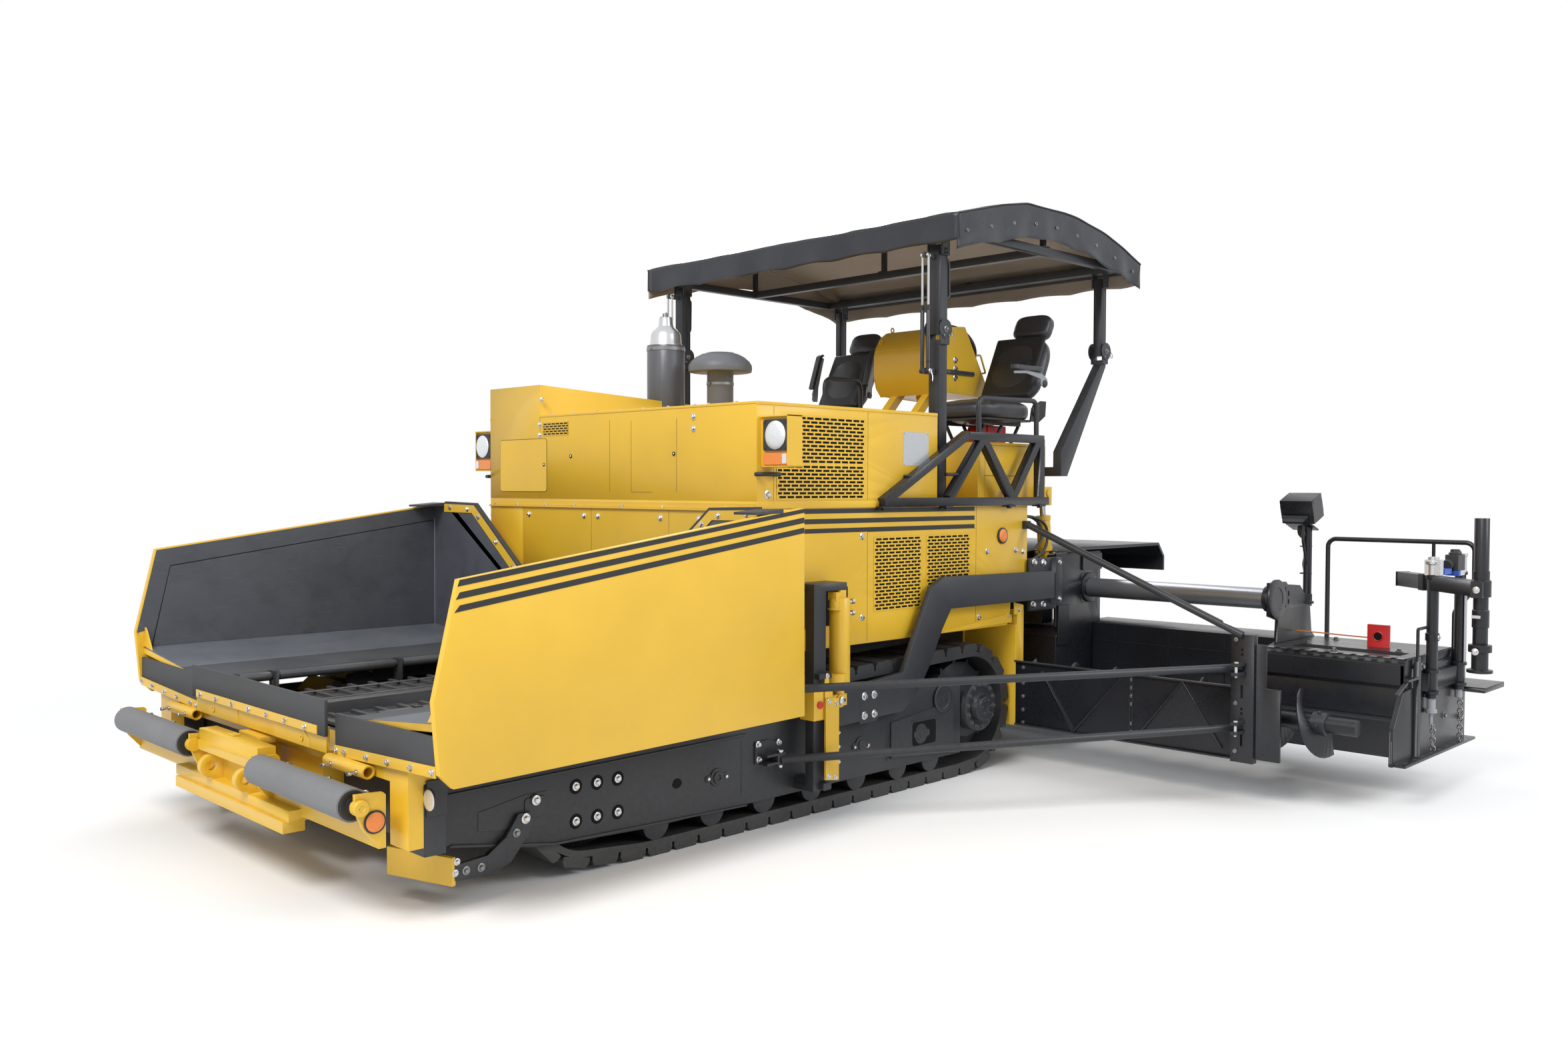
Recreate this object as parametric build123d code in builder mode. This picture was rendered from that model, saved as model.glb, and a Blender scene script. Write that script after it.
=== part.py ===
from build123d import *
import math
import os

os.makedirs("parts", exist_ok=True)

# Asphalt paver on tracks, in millimetres.
# X points forward to the hopper, Y to the machine's left, Z up from the ground.
# The origin is on the ground, midway between the push rollers' front and the walkway's rear edge.

# Tracks
frame_half = 850
track_width = 320
track_outer_y = frame_half + 40 + track_width
shoe_pitch = 159
shoe_thickness = 45
shoe_gap = 14
chain_depth = 30
sprocket_x = -905
sprocket_z = 395
sprocket_reach = 385
idler_x = 1925
idler_z = 360
idler_reach = 330
ground_front_x = 1610
ground_rear_x = -780
track_inner_y = track_outer_y - track_width

# Main frame
frame_plate = 30
frame_bottom = 250
frame_nose_top = 620
conveyor_floor_z = 640
frame_rear_x = -1300
frame_nose_x = 2650
tunnel_roof = 1150
body_front_x = 900
body_rear_x = -1470
body_half = track_outer_y + 10
body_sheet = 40
body_bottom = 870
deck_z = 1610
deck_plate = 40
deck_rear_x = -1700

# Hood
hood_rear_x = -550
hood_top = 2150
tank_inner_y = -670
tank_top = 2337
tank_rear_top = 2260

# Side plate of the track frame
guard_thickness = 20
guard_y = track_outer_y + 5
guard_outer_y = guard_y + guard_thickness

# Hopper
wing_hinge_y = 740
wing_hinge_z = 735
wing_knuckle_radius = 24
wing_pin_radius = 20
wing_lugs = [1100, 1800, 2500]
wing_lug_half = 15
wing_rear_x = 950
wing_wall_x = 1070

# Push beam
roller_x = 3050
roller_z = 510
roller_radius = 65
roller_inner_y = 395
roller_outer_y = 1250
roller_pin_radius = 18
beam_rear_x = 2945
beam_pivot_x = 2870
beam_pivot_radius = 40

# Towing of the screed
tow_pin_x = 606
tow_pin_z = 622
tow_pin_radius = 30
tow_pin_clearance = 0.08
arm_inner_y = body_half + 38
arm_thickness = 36
rail_inner_y = arm_inner_y + arm_thickness + 16
rail_width_y = 60
rail_x = 595
rail_width_x = 90
slider_gap = 3
level_x = 430
level_y = rail_inner_y + 45
level_barrel_radius = 55
level_rod_radius = 25

# Augers
auger_x = -1518
auger_z = 465
auger_radius = 180
auger_shaft_radius = 45
auger_inner_y = 105.3
auger_outer_y = 3250

# Screed
sole_z = 240
screed_front_x = -1760
screed_depth = 440
main_half = 1250
box_top = 820
extension_front_x = -2210
extension_rear_x = -2600
extension_inner_y = 1130
extension_outer_y = 2500
screed_end_y = 3330
bolt_on_front_x = -1950
guide_x = -2150
guide_z = 1060
guide_radius = 63
guide_clearance = 2
walkway_rear_x = -3115

# Canopy
post_x = -640
post_y = 1150
post_size = 75
elbow_z = 2650
upper_post = 460
rear_elbow_x = -2360
roof_half = 1400
roof_front_x = -510
roof_rear_x = -2540


def block(x0, x1, y0, y1, z0, z1, mode=Mode.ADD):
    """A plate or bar between two corners, in the part being made."""
    middle = ((x0 + x1) / 2, (y0 + y1) / 2, (z0 + z1) / 2)
    with Locations(middle):
        Box(abs(x1 - x0), abs(y1 - y0), abs(z1 - z0), mode=mode)


def side_profile(points, y0, y1, mode=Mode.ADD):
    """An outline of (x, z) points, as a plate from y0 to y1."""
    with BuildSketch(Plane.XZ.offset(-y0)) as outline:
        with BuildLine():
            Polyline(*points, close=True)
        make_face()
    extrude(outline.sketch, amount=-(y1 - y0), mode=mode)


def cross_profile(points, x0, x1, mode=Mode.ADD):
    """An outline of (y, z) points, as a plate from x0 to x1."""
    with BuildSketch(Plane.YZ.offset(x0)) as outline:
        with BuildLine():
            Polyline(*points, close=True)
        make_face()
    extrude(outline.sketch, amount=x1 - x0, mode=mode)


def round_bar(start, end, radius, mode=Mode.ADD):
    """A straight round bar between two points."""
    along = Vector(*end) - Vector(*start)
    with BuildSketch(Plane(origin=start, z_dir=along)) as section:
        Circle(radius)
    extrude(section.sketch, amount=along.length, mode=mode)


def square_bar(start, end, size, mode=Mode.ADD):
    """A straight square bar between two points, with its flat sides facing Y."""
    along = Vector(*end) - Vector(*start)
    with BuildSketch(Plane(origin=start, x_dir=(0, 1, 0), z_dir=along)) as section:
        Rectangle(size, size)
    extrude(section.sketch, amount=along.length, mode=mode)


def bent_tube(points, radius, bend):
    """A round tube along straight runs joined by arcs."""
    with BuildLine() as route:
        FilletPolyline(*points, radius=bend)
    with BuildSketch(Plane(origin=route.line @ 0, z_dir=route.line % 0)) as section:
        Circle(radius)
    sweep(section.sketch, path=route.line)


def write_part(name, piece):
    """Label one finished piece and write it."""
    piece.part.label = name
    export_step(piece.part, f"parts/{name}.step")


def write_pair(name, left):
    """Write a left-hand piece and its mirror image as two nodes."""
    with BuildPart() as right:
        mirror(left.part, about=Plane.XZ)
    write_part(f"{name}_left", left)
    write_part(f"{name}_right", right)


# Track, one closed loop with its shoes in the outline

def track_loop(depth):
    """Outline of the track's path, at a depth under the shoes' faces, in a flat sketch."""
    with BuildSketch() as loop:
        with Locations((sprocket_x, sprocket_z)):
            Circle(sprocket_reach - depth)
        with Locations((idler_x, idler_z)):
            Circle(idler_reach - depth)
        small = 60
        with Locations((ground_front_x, depth + small), (ground_rear_x, depth + small)):
            Circle(small)
        make_hull()
    return loop.sketch


def shoe_places(path, count):
    """Where the shoes sit along the path, each with its face turned outwards."""
    places = []
    for number in range(count):
        middle = path @ (number / count)
        along = path % (number / count)
        places.append(Location((middle.X, middle.Y), math.degrees(math.atan2(along.Y, along.X))))
    return places


shoe_half = (shoe_pitch - shoe_gap) / 2
shoe_corners = [(-shoe_half, 2), (shoe_half, 2), (shoe_half, -22), (shoe_half - 14, -shoe_thickness),
                (14 - shoe_half, -shoe_thickness), (-shoe_half, -22)]
shoe_loop = track_loop(shoe_thickness)
shoe_path = shoe_loop.face().outer_wire()
shoe_count = round(shoe_path.length / shoe_pitch)

with BuildPart() as track:
    with BuildSketch(Plane.XZ.offset(-track_inner_y)):
        add(shoe_loop)
        with Locations(*shoe_places(shoe_path, shoe_count)):
            Polygon(*shoe_corners, align=None)
        add(track_loop(shoe_thickness + chain_depth), mode=Mode.SUBTRACT)
    extrude(amount=-track_width)
write_pair("track", track)

# Track frame: side plate, beam, road rollers, idler and carrier rollers
guard_points = [(2700, 520), (2700, 270), (2660, 270), (2180, 172), (1610, 146), (-765, 150), (-760, 565),
                (-560, 610), (2600, 610)]
roller_row = [-505, -210, 140, 490, 840, 1190, 1540]
road_roller_radius = 78
carrier_row = [-100, 900]
carrier_radius = 50

with BuildPart() as track_frame:
    side_profile(guard_points, guard_y, guard_outer_y)
    block(-520, 1560, track_inner_y - 20, guard_y, 240, 540)
    block(-700, 2650, track_inner_y - 40, track_inner_y - 10, 200, 560)
    for x in roller_row:
        round_bar((x, track_inner_y - 10, 75.3 + road_roller_radius), (x, guard_y, 75.3 + road_roller_radius), road_roller_radius)
    for x in carrier_row:
        round_bar((x, track_inner_y - 10, 540), (x, guard_y, 540), carrier_radius)
    idler_wheel = idler_reach - shoe_thickness - chain_depth
    round_bar((idler_x, 960, idler_z), (idler_x, 1140, idler_z), idler_wheel - 0.3)
    round_bar((idler_x, track_inner_y - 10, idler_z), (idler_x, guard_y, idler_z), 90)
    mirror(about=Plane.XZ)
write_part("track_frames", track_frame)

# Final drive: sprocket with teeth, gearbox hub and its flange
sprocket_teeth = 13
sprocket_root = 268

with BuildPart() as final_drive:
    with BuildSketch(Plane.XZ.offset(-(track_inner_y + 95))):
        with Locations((sprocket_x, sprocket_z)):
            Circle(sprocket_root)
            with PolarLocations(sprocket_root - 8, sprocket_teeth):
                RegularPolygon(40, 3)
    extrude(amount=-120)
    for y0, y1, radius in ((frame_half, track_inner_y + 95, 190), (track_inner_y + 215, track_outer_y - 30, 175),
                           (track_outer_y - 30, track_outer_y + 45, 128), (track_outer_y + 45, track_outer_y + 88, 66)):
        round_bar((sprocket_x, y0, sprocket_z), (sprocket_x, y1, sprocket_z), radius)
    mirror(about=Plane.XZ)
write_part("final_drives", final_drive)

# Main frame between the tracks, with the conveyor tunnel
with BuildPart() as chassis:
    side_web = [(frame_rear_x, frame_bottom), (frame_nose_x, frame_bottom), (frame_nose_x, frame_nose_top),
                (940, frame_nose_top), (body_front_x, tunnel_roof), (frame_rear_x, tunnel_roof)]
    side_profile(side_web, frame_half - frame_plate, frame_half)
    side_profile(side_web, frame_plate - frame_half, -frame_half)
    block(frame_rear_x, frame_nose_x, -frame_half, frame_half, frame_bottom, frame_bottom + frame_plate)
    block(frame_rear_x, body_front_x, -frame_half, frame_half, tunnel_roof - frame_plate, tunnel_roof)
    block(frame_nose_x, frame_nose_x + frame_plate, 5 - body_half, body_half - 5, frame_bottom, frame_nose_top)
    block(frame_rear_x, frame_nose_x, -20, 20, frame_bottom, 560)
    for x in wing_lugs:
        block(x - wing_lug_half, x + wing_lug_half, -frame_half, frame_half, 560, frame_nose_top)
        for y in (-wing_hinge_y, wing_hinge_y):
            block(x - wing_lug_half, x + wing_lug_half, y - 28, y + 28, frame_nose_top, wing_hinge_z + 28)
            round_bar((x - 16, y, wing_hinge_z), (x + 16, y, wing_hinge_z), wing_pin_radius + 0.1, Mode.SUBTRACT)
write_part("chassis", chassis)

with BuildPart() as engine:
    block(-150, 750, -430, 430, tunnel_roof, 1900)
write_part("engine_block", engine)

# Conveyor floor with its chain bars
with BuildPart() as conveyor:
    block(frame_rear_x, 2640, -690, 690, frame_nose_top, conveyor_floor_z)
    block(1000, 2640, -45, 45, conveyor_floor_z, 700)
    for number in range(14):
        x = 1040 + number * 118
        block(x, x + 25, 70, 690, conveyor_floor_z, conveyor_floor_z + 18)
        block(x, x + 25, -690, -70, conveyor_floor_z, conveyor_floor_z + 18)
write_part("conveyor", conveyor)

# Side panel of the body, with two slotted grilles and the cylinder's slot
def grille_slots(x0, x1, z0, z1, y0, y1, columns, rows):
    """Rows of slots laid like bricks, cut through a side wall."""
    pitch_x = (x1 - x0) / columns
    pitch_z = (z1 - z0) / rows
    for row in range(rows):
        shift = pitch_x / 4 if row % 2 else -pitch_x / 4
        for column in range(columns):
            x = x0 + pitch_x * (column + 0.5) + shift
            z = z0 + pitch_z * (row + 0.5)
            block(x - pitch_x * 0.4, x + pitch_x * 0.4, y0, y1, z - pitch_z * 0.25, z + pitch_z * 0.25, Mode.SUBTRACT)


panel_points = [(body_front_x, body_bottom), (-1250, body_bottom), (-1286, 900), (-1300, 1100),
                (body_rear_x, 1190), (body_rear_x, deck_z), (body_front_x, deck_z)]
grille_table = [(-5, -400), (-467, -853)]

with BuildPart() as side_panel:
    side_profile(panel_points, body_half - body_sheet, body_half)
    block(body_rear_x, body_rear_x + body_sheet, frame_half, body_half - body_sheet, 1190, deck_z)
    block(frame_rear_x + 20, body_front_x, frame_half, body_half - body_sheet, body_bottom, body_bottom + body_sheet)
    block(body_front_x - body_sheet, body_front_x, frame_half, body_half - body_sheet, body_bottom + body_sheet, deck_z)
    block(227, 553, body_half - body_sheet, body_half, 985, 1186, Mode.SUBTRACT)
    for x1, x0 in grille_table:
        grille_slots(x0 + 12, x1 - 12, 1050, 1440, body_half - body_sheet, body_half, 3, 9)
    mirror(about=Plane.XZ)
write_part("side_panels", side_panel)

# Deck and bulkheads over the tunnel, with the cheeks that hold the screed's lift rods
lift_y = 1150
lift_top_x = -1735
lift_top_z = 1690
lift_eye_x = -1785
lift_eye_z = 1250
lift_cheek = 35
lift_cheek_plate = 15
lift_pin = 16
with BuildPart() as deck:
    block(deck_rear_x, body_front_x, -body_half, body_half, deck_z, deck_z + deck_plate)
    block(-150 - 20, 750 + 20, -450, 450, deck_z, deck_z + deck_plate, Mode.SUBTRACT)
    block(body_front_x - body_sheet, body_front_x, -frame_half, frame_half, tunnel_roof, deck_z)
    block(body_rear_x, body_rear_x + body_sheet, -frame_half, frame_half, 1190, deck_z)
    for side in (-1, 1):
        for y in (lift_y - lift_cheek - lift_cheek_plate, lift_y + lift_cheek):
            block(-1775, deck_rear_x + 30, side * y, side * (y + lift_cheek_plate), deck_z, 1730)
        for y in (lift_y - 60, lift_y + 50):
            round_bar((lift_top_x, side * y, lift_top_z), (lift_top_x, side * (y + 10), lift_top_z), 26)
write_part("deck", deck)

# Hood over the engine
hood_wall = 40
hood_base = deck_z + deck_plate
muffler_x = -150
muffler_y = 470 - body_half
muffler_radius = 125
with BuildPart() as hood:
    block(hood_rear_x, body_front_x, -body_half, body_half, hood_base, hood_top)
    block(hood_rear_x + hood_wall, body_front_x - hood_wall, -body_half + hood_wall, body_half - hood_wall,
          hood_base, hood_top - hood_wall, Mode.SUBTRACT)
    for y0, y1 in ((body_half - hood_wall, body_half), (-body_half, hood_wall - body_half)):
        grille_slots(110, 570, 1865, 2075, y0, y1, 3, 5)
        grille_slots(110, 740, 1665, 1865, y0, y1, 4, 5)
    side_profile([(body_front_x, hood_top), (body_front_x, tank_top), (hood_rear_x, tank_rear_top), (hood_rear_x, hood_top)],
                 -body_half, tank_inner_y)
    side_profile([(body_front_x - 20, hood_top - hood_wall), (body_front_x - 20, tank_top - 25),
                  (hood_rear_x + 20, tank_rear_top - 25), (hood_rear_x + 20, hood_top - hood_wall)],
                 20 - body_half, tank_inner_y - 20, Mode.SUBTRACT)
    round_bar((muffler_x, muffler_y, hood_top), (muffler_x, muffler_y, tank_top), muffler_radius + 3, Mode.SUBTRACT)
write_part("hood", hood)

# Muffler and air intake
with BuildPart() as muffler:
    round_bar((muffler_x, muffler_y, hood_top), (muffler_x, muffler_y, 2660), muffler_radius)
    with Locations((muffler_x, muffler_y, 2725)):
        Cone(100, 42, 130)
    round_bar((muffler_x, muffler_y, 2790), (muffler_x, muffler_y, 2850), 42)
write_part("muffler", muffler)

# Air intake with its mushroom cap
intake_x = -230
intake_y = -300
intake_radius = 85
with BuildPart() as intake:
    round_bar((intake_x, intake_y, hood_top), (intake_x, intake_y, 2464), intake_radius)
    round_bar((intake_x, intake_y, 2464), (intake_x, intake_y, 2510), 202)
    with Locations((intake_x, intake_y, 2549)):
        Cone(202, 90, 78)
write_part("intake", intake)

# Head lamps in their boxes on the hood's front corners
with BuildPart() as lamps:
    block(783, 870, body_half, body_half + 201, 1827, 2074)
    round_bar((870, body_half + 117, 1973), (884, body_half + 117, 1973), 70)
    mirror(about=Plane.XZ)
write_part("head_lamps", lamps)

# Front frame: end posts, bumper box, tube sockets and the push beam's pivot
socket_x = 2895
socket_z = 582
socket_bore = 20
with BuildPart() as front_frame:
    for side in (-1, 1):
        block(2700, 2860, side * (body_half - 40), side * (body_half + 105), 310, 620)
    block(2681, 2860, 40 - body_half, body_half - 40, 560, 620)
    block(2850, 2900, -715, 715, 605, 620)
    block(2885, 2900, -715, 715, 605, 716)
    block(2681, 2780, -420, 420, 298, 592)
    block(2780, 2930, -120, 120, 562, 592)
    block(2780, 2930, -120, 120, 298, 328)
    round_bar((beam_pivot_x, 0, 328), (beam_pivot_x, 0, 562), beam_pivot_radius)
    for y0, y1 in ((723, 1074), (-1074, -723)):
        for y in (y0 + 30, y1 - 30):
            block(2850, socket_x, y - 15, y + 15, socket_z - 18, socket_z + 18)
        round_bar((socket_x, y0, socket_z), (socket_x, y1, socket_z), 28)
        round_bar((socket_x, y0 - 1, socket_z), (socket_x, y1 + 1, socket_z), socket_bore, Mode.SUBTRACT)
write_part("front_frame", front_frame)

# Push beam with its cap, bumper, end plates, roller lugs and tow eyes
tow_eye_x = 3030
tow_eye_z = 432
tow_eye_bore = 22
beam_end_y = 1310
beam_end = [(3069, 562), (2955, 555), (beam_rear_x, 545), (beam_rear_x, 351), (2970, 346), (3034, 420), (3069, 500)]
with BuildPart() as push_beam:
    block(beam_rear_x, 2975, -beam_end_y, beam_end_y, 340, 530)
    for y0, y1 in ((beam_end_y - 20, beam_end_y), (340, 360), (-360, -340), (-beam_end_y, 20 - beam_end_y)):
        side_profile(beam_end, y0, y1)
        round_bar((roller_x, y0 - 1, roller_z), (roller_x, y1 + 1, roller_z), roller_pin_radius + 0.3, Mode.SUBTRACT)
    block(2950, 3037, -330, 330, 490, 535)
    block(2950, 3030, -330, 330, 535, 588)
    block(beam_rear_x, 3028, -635, 635, 321, 370)
    block(beam_rear_x, 3041, -605, 605, 270, 321)
    for y in (-200, 200):
        block(beam_rear_x, tow_eye_x, y - 20, y + 20, 360, 495)
        round_bar((tow_eye_x, y - 20, tow_eye_z), (tow_eye_x, y + 20, tow_eye_z), 52)
        round_bar((tow_eye_x, y - 26, tow_eye_z), (tow_eye_x, y + 26, tow_eye_z), tow_eye_bore, Mode.SUBTRACT)
    block(beam_pivot_x - 60, beam_rear_x, -60, 60, 334, 556)
    round_bar((beam_pivot_x, 0, 333), (beam_pivot_x, 0, 557), beam_pivot_radius + 0.3, Mode.SUBTRACT)
write_part("push_beam", push_beam)

with BuildPart() as push_roller:
    round_bar((roller_x, roller_inner_y, roller_z), (roller_x, roller_outer_y, roller_z), roller_radius)
    round_bar((roller_x, 335, roller_z), (roller_x, 1315, roller_z), roller_pin_radius)
write_pair("push_roller", push_roller)

# Hopper wing: floor, side wall, rear wall and the outer skirt
def wing_wall(y0, y1):
    """The side wall's outline, extruded between two widths."""
    side_profile([(wing_rear_x - 6, 630), (2823, 593), (2880, 650), (2904, 926), (2798, 1375), (wing_rear_x + 40, 1622),
                  (wing_rear_x, 1622)], y0, y1)


with BuildPart() as wing:
    cross_profile([(770, 735), (770, 757), (1570, 835), (1570, 805)], wing_wall_x, 2860)
    wing_wall(1570, 1600)
    cross_profile([(790, 758), (790, 1243), (1364, 1616), (1600, 1616), (1600, 640), (1500, 640), (1400, 794)],
                  wing_wall_x, wing_wall_x + 25)
    cross_profile([(790, 1228), (790, 1243), (1364, 1616), (1600, 1616), (1600, 1600), (1370, 1600)],
                  wing_rear_x, wing_wall_x)
    for x0, x1 in ((1125, 1775), (1825, 2475), (2525, 2680)):
        block(x0, x1, wing_hinge_y, 772, 736, 756)
        round_bar((x0, wing_hinge_y, wing_hinge_z), (x1, wing_hinge_y, wing_hinge_z), wing_knuckle_radius)
    for x in wing_lugs:
        block(x - wing_lug_half - 8, x + wing_lug_half + 8, 760, 806, 730, 765, Mode.SUBTRACT)
    round_bar((1075, wing_hinge_y, wing_hinge_z), (2680, wing_hinge_y, wing_hinge_z), wing_pin_radius)
write_pair("wing", wing)

# Rubber aprons at the hopper's front
with BuildPart() as apron_centre:
    block(2900, 2915, -730, 730, 678, 832)
write_part("apron_centre", apron_centre)

with BuildPart() as apron_side:
    cross_profile([(740, 602), (1569, 636), (1569, 787), (740, 775)], 2860, 2875)
write_pair("apron", apron_side)

# Scrapers in front of the tracks
with BuildPart() as scrapers:
    side_profile([(2256, 345), (2256, 265), (2355, 151), (2458, 114), (2632, 130), (2632, 190), (2470, 200), (2380, 260), (2320, 345)],
                 guard_outer_y, guard_outer_y + 25)
    with BuildSketch(Plane.XY.offset(110)) as blade:
        with BuildLine():
            Polyline((2737, 922), (2633, 1262), (2619, 1258), (2725, 916), close=True)
        make_face()
    extrude(blade.sketch, amount=113)
    mirror(about=Plane.XZ)
write_part("scrapers", scrapers)

# Rear frame and mouldboard behind the tracks
board_front_x = -1316
board_x = -1331
board_half = 1245
with BuildPart() as rear_frame:
    block(board_x, board_front_x, -board_half, board_half, 240, 870)
    block(board_x, board_front_x, -690, 690, 600, 870, Mode.SUBTRACT)
    for y0, y1 in ((870, 930), (1185, board_half), (-930, -870), (-board_half, -1185)):
        block(-1400, board_x, y0, y1, 240, 960)
    block(board_front_x, frame_rear_x, -frame_half, frame_half, 250, 600)
    for y0, y1 in ((790, frame_half), (-frame_half, -790)):
        block(board_x, frame_rear_x, y0, y1, 600, 1190)
    block(auger_x - 70, auger_x + 70, -105, 105, 380, 560)
    block(auger_x - 50, auger_x + 50, -60, 60, 560, 700)
    block(auger_x - 50, board_x, -60, 60, 690, 760)
    block(board_x, frame_rear_x, -60, 60, 600, 900)
write_part("rear_frame", rear_frame)

# Auger tunnel plates bolted on outside the rear frame
tunnel_outer_y = 2662
tunnel_bracket_y = 2790
with BuildPart() as tunnel_plates:
    block(board_x, board_front_x, board_half, tunnel_outer_y, 248, 648)
    block(board_x, board_front_x, tunnel_bracket_y, 2922, 262, 650)
    block(board_x, board_front_x + 30, tunnel_outer_y, tunnel_bracket_y, 240, 935)
    block(board_x, board_front_x, tunnel_bracket_y, 2844, 640, 884)
    for y0, z0, y1, z1 in ((1434, 600, 1666, 259), (1666, 259, 1989, 627), (2365, 640, 2086, 289), (2365, 640, 2600, 298)):
        cross_profile([(y0 - 10, z0), (y0 + 10, z0), (y1 + 10, z1), (y1 - 10, z1)], board_front_x, board_front_x + 14)
    mirror(about=Plane.XZ)
write_part("tunnel_plates", tunnel_plates)

# Brace rods from the machine to the tunnel plates, with the brackets that hold them
rod_radius = 21
rod_end_x = board_front_x + 30
brace_table = [((1120, 1262, 725), (rod_end_x, 2715, 756)), ((803, 1300, 352), (rod_end_x, 2715, 433)),
               ((-1440, 1247, 1490), (rod_end_x, 2730, 930))]
with BuildPart() as brace_rods:
    for start, end in brace_table:
        round_bar(start, end, rod_radius)
    block(0, 3000, 1200, 1262, 600, 850, Mode.SUBTRACT)
    block(rod_end_x - 100, rod_end_x, 2600, 2800, 300, 1100, Mode.SUBTRACT)
    block(1090, 1150, 1215, 1262, 610, 760)
    block(775, 830, guard_outer_y, 1305, 325, 380)
    block(-1465, -1415, body_half, 1250, 1465, 1515)
    mirror(about=Plane.XZ)
write_part("brace_rods", brace_rods)

# Auger with its flights
with BuildPart() as auger:
    round_bar((auger_x, auger_inner_y, auger_z), (auger_x, auger_outer_y, auger_z), auger_shaft_radius)
    for number in range(8):
        y = 300 + number * 360
        with Locations(Location((auger_x, y, auger_z), (90 + 25, 0, 0))):
            Cylinder(auger_radius, 14)
write_pair("auger", auger)

# Levelling rails: vertical guide, top arm, foot and the yellow scale strip
with BuildPart() as leveling_rails:
    block(rail_x - rail_width_x / 2, rail_x + rail_width_x / 2, rail_inner_y, rail_inner_y + rail_width_y, 170, 1230)
    block(level_x - 40, rail_x + rail_width_x / 2, body_half, rail_inner_y + rail_width_y, 1190, 1230)
    block(rail_x - rail_width_x / 2, rail_x + rail_width_x / 2, guard_outer_y, rail_inner_y, 170, 230)
    mirror(about=Plane.XZ)
write_part("leveling_rails", leveling_rails)

with BuildPart() as level_barrel:
    round_bar((level_x, level_y, 700), (level_x, level_y, 1150), level_barrel_radius)
    round_bar((level_x, level_y, 699), (level_x, level_y, 1140), level_rod_radius + 1, Mode.SUBTRACT)
    block(level_x - 20, level_x + 20, level_y - 25, level_y + 25, 1150, 1190)
    mirror(about=Plane.XZ)
write_part("leveling_cylinders", level_barrel)

with BuildPart() as tow_slider:
    block(rail_x - 70, rail_x + 70, rail_inner_y - 8 - slider_gap, rail_inner_y + rail_width_y + 25, 540, 700)
    block(rail_x - rail_width_x / 2 - slider_gap, rail_x + rail_width_x / 2 + slider_gap,
          rail_inner_y - slider_gap, rail_inner_y + rail_width_y + slider_gap, 540, 700, Mode.SUBTRACT)
    round_bar((tow_pin_x, rail_inner_y - slider_gap, tow_pin_z), (tow_pin_x, 1245, tow_pin_z), tow_pin_radius)
    block(level_x - 35, rail_x - 70, level_y - 20, level_y + 20, 590, 650)
    round_bar((level_x, level_y, 650), (level_x, level_y, 1090), level_rod_radius)
write_pair("tow_slider", tow_slider)

# Tow arms with the flanges that bolt to the screed
with BuildPart() as tow_arms:
    with BuildSketch(Plane.XZ.offset(-arm_inner_y)):
        with BuildLine():
            Polyline((606, 690), (606, 554), (348, 461), (-166, 479), (-300, 581), (-386, 692), (-516, 911), (-596, 1021),
                     (-1675, 1018), (-1673, 1192), (-531, 1208), (-416, 1153), (-165, 693), (348, 650), close=True)
        make_face()
        with Locations((tow_pin_x, tow_pin_z)):
            Circle(68)
            Circle(tow_pin_radius + tow_pin_clearance, mode=Mode.SUBTRACT)
    extrude(amount=-arm_thickness)
    block(-1750, -1450, arm_inner_y - 22, arm_inner_y, 944, 1276)
    block(screed_front_x, -1690, main_half - 20, arm_inner_y + arm_thickness, 980, 1276)
    mirror(about=Plane.XZ)
write_part("tow_arms", tow_arms)

# Main screed: heated box, guide housing, side plates, arm brackets and walkway
main_rear_x = screed_front_x - screed_depth
with BuildPart() as main_screed:
    side_profile([(screed_front_x, sole_z), (screed_front_x, box_top - 60), (screed_front_x - 60, box_top),
                  (main_rear_x, box_top), (main_rear_x, sole_z)], -main_half, main_half)
    for y0, y1 in ((25 - main_half, -15), (15, main_half - 25)):
        side_profile([(screed_front_x - 25, sole_z + 25), (screed_front_x - 25, box_top - 75), (screed_front_x - 75, box_top - 25),
                      (main_rear_x, box_top - 25), (main_rear_x, sole_z + 25)], y0, y1, Mode.SUBTRACT)
    for y0, y1 in ((-main_half, -1230), (-620, -580), (580, 620), (1230, main_half)):
        block(-2300, screed_front_x, y0, y1, box_top, 1300)
    block(-2260, -2040, -main_half, main_half, guide_z - 110, guide_z + 110)
    round_bar((guide_x, -main_half - 1, guide_z), (guide_x, main_half + 1, guide_z), guide_radius + guide_clearance, Mode.SUBTRACT)
    for y0, y1 in ((-620, -580), (580, 620)):
        block(-2700, -2300, y0, y1, 900, 1040)
        block(-2700, -2640, y0, y1, 500, 1040)
    block(walkway_rear_x, -2640, -main_half, main_half, 470, 500)
    for side in (-1, 1):
        block(-1860, -1840, side * 1090, side * 1230, 1150, 1290)
        for y in (lift_y - lift_cheek - lift_cheek_plate, lift_y + lift_cheek):
            block(-1840, -1750, side * y, side * (y + lift_cheek_plate), 1190, 1290)
        round_bar((lift_eye_x, side * (lift_y - 50), lift_eye_z), (lift_eye_x, side * (lift_y + 50), lift_eye_z), lift_pin)
write_part("main_screed", main_screed)

# Cover over the guide housing
cover_half = 1290
with BuildPart() as screed_cover:
    side_profile([(-1900, 1301), (-1960, 1335), (-3020, 1335), (-3100, 1240), (-3100, 1135), (-3080, 1135), (-3080, 1230),
                  (-3010, 1315), (-1965, 1315), (-1945, 1301)], -cover_half, cover_half)
    for y0, y1 in ((-620, -580), (580, 620)):
        block(-2700, -2640, y0, y1, 1040, 1315)
write_part("screed_cover", screed_cover)

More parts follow.
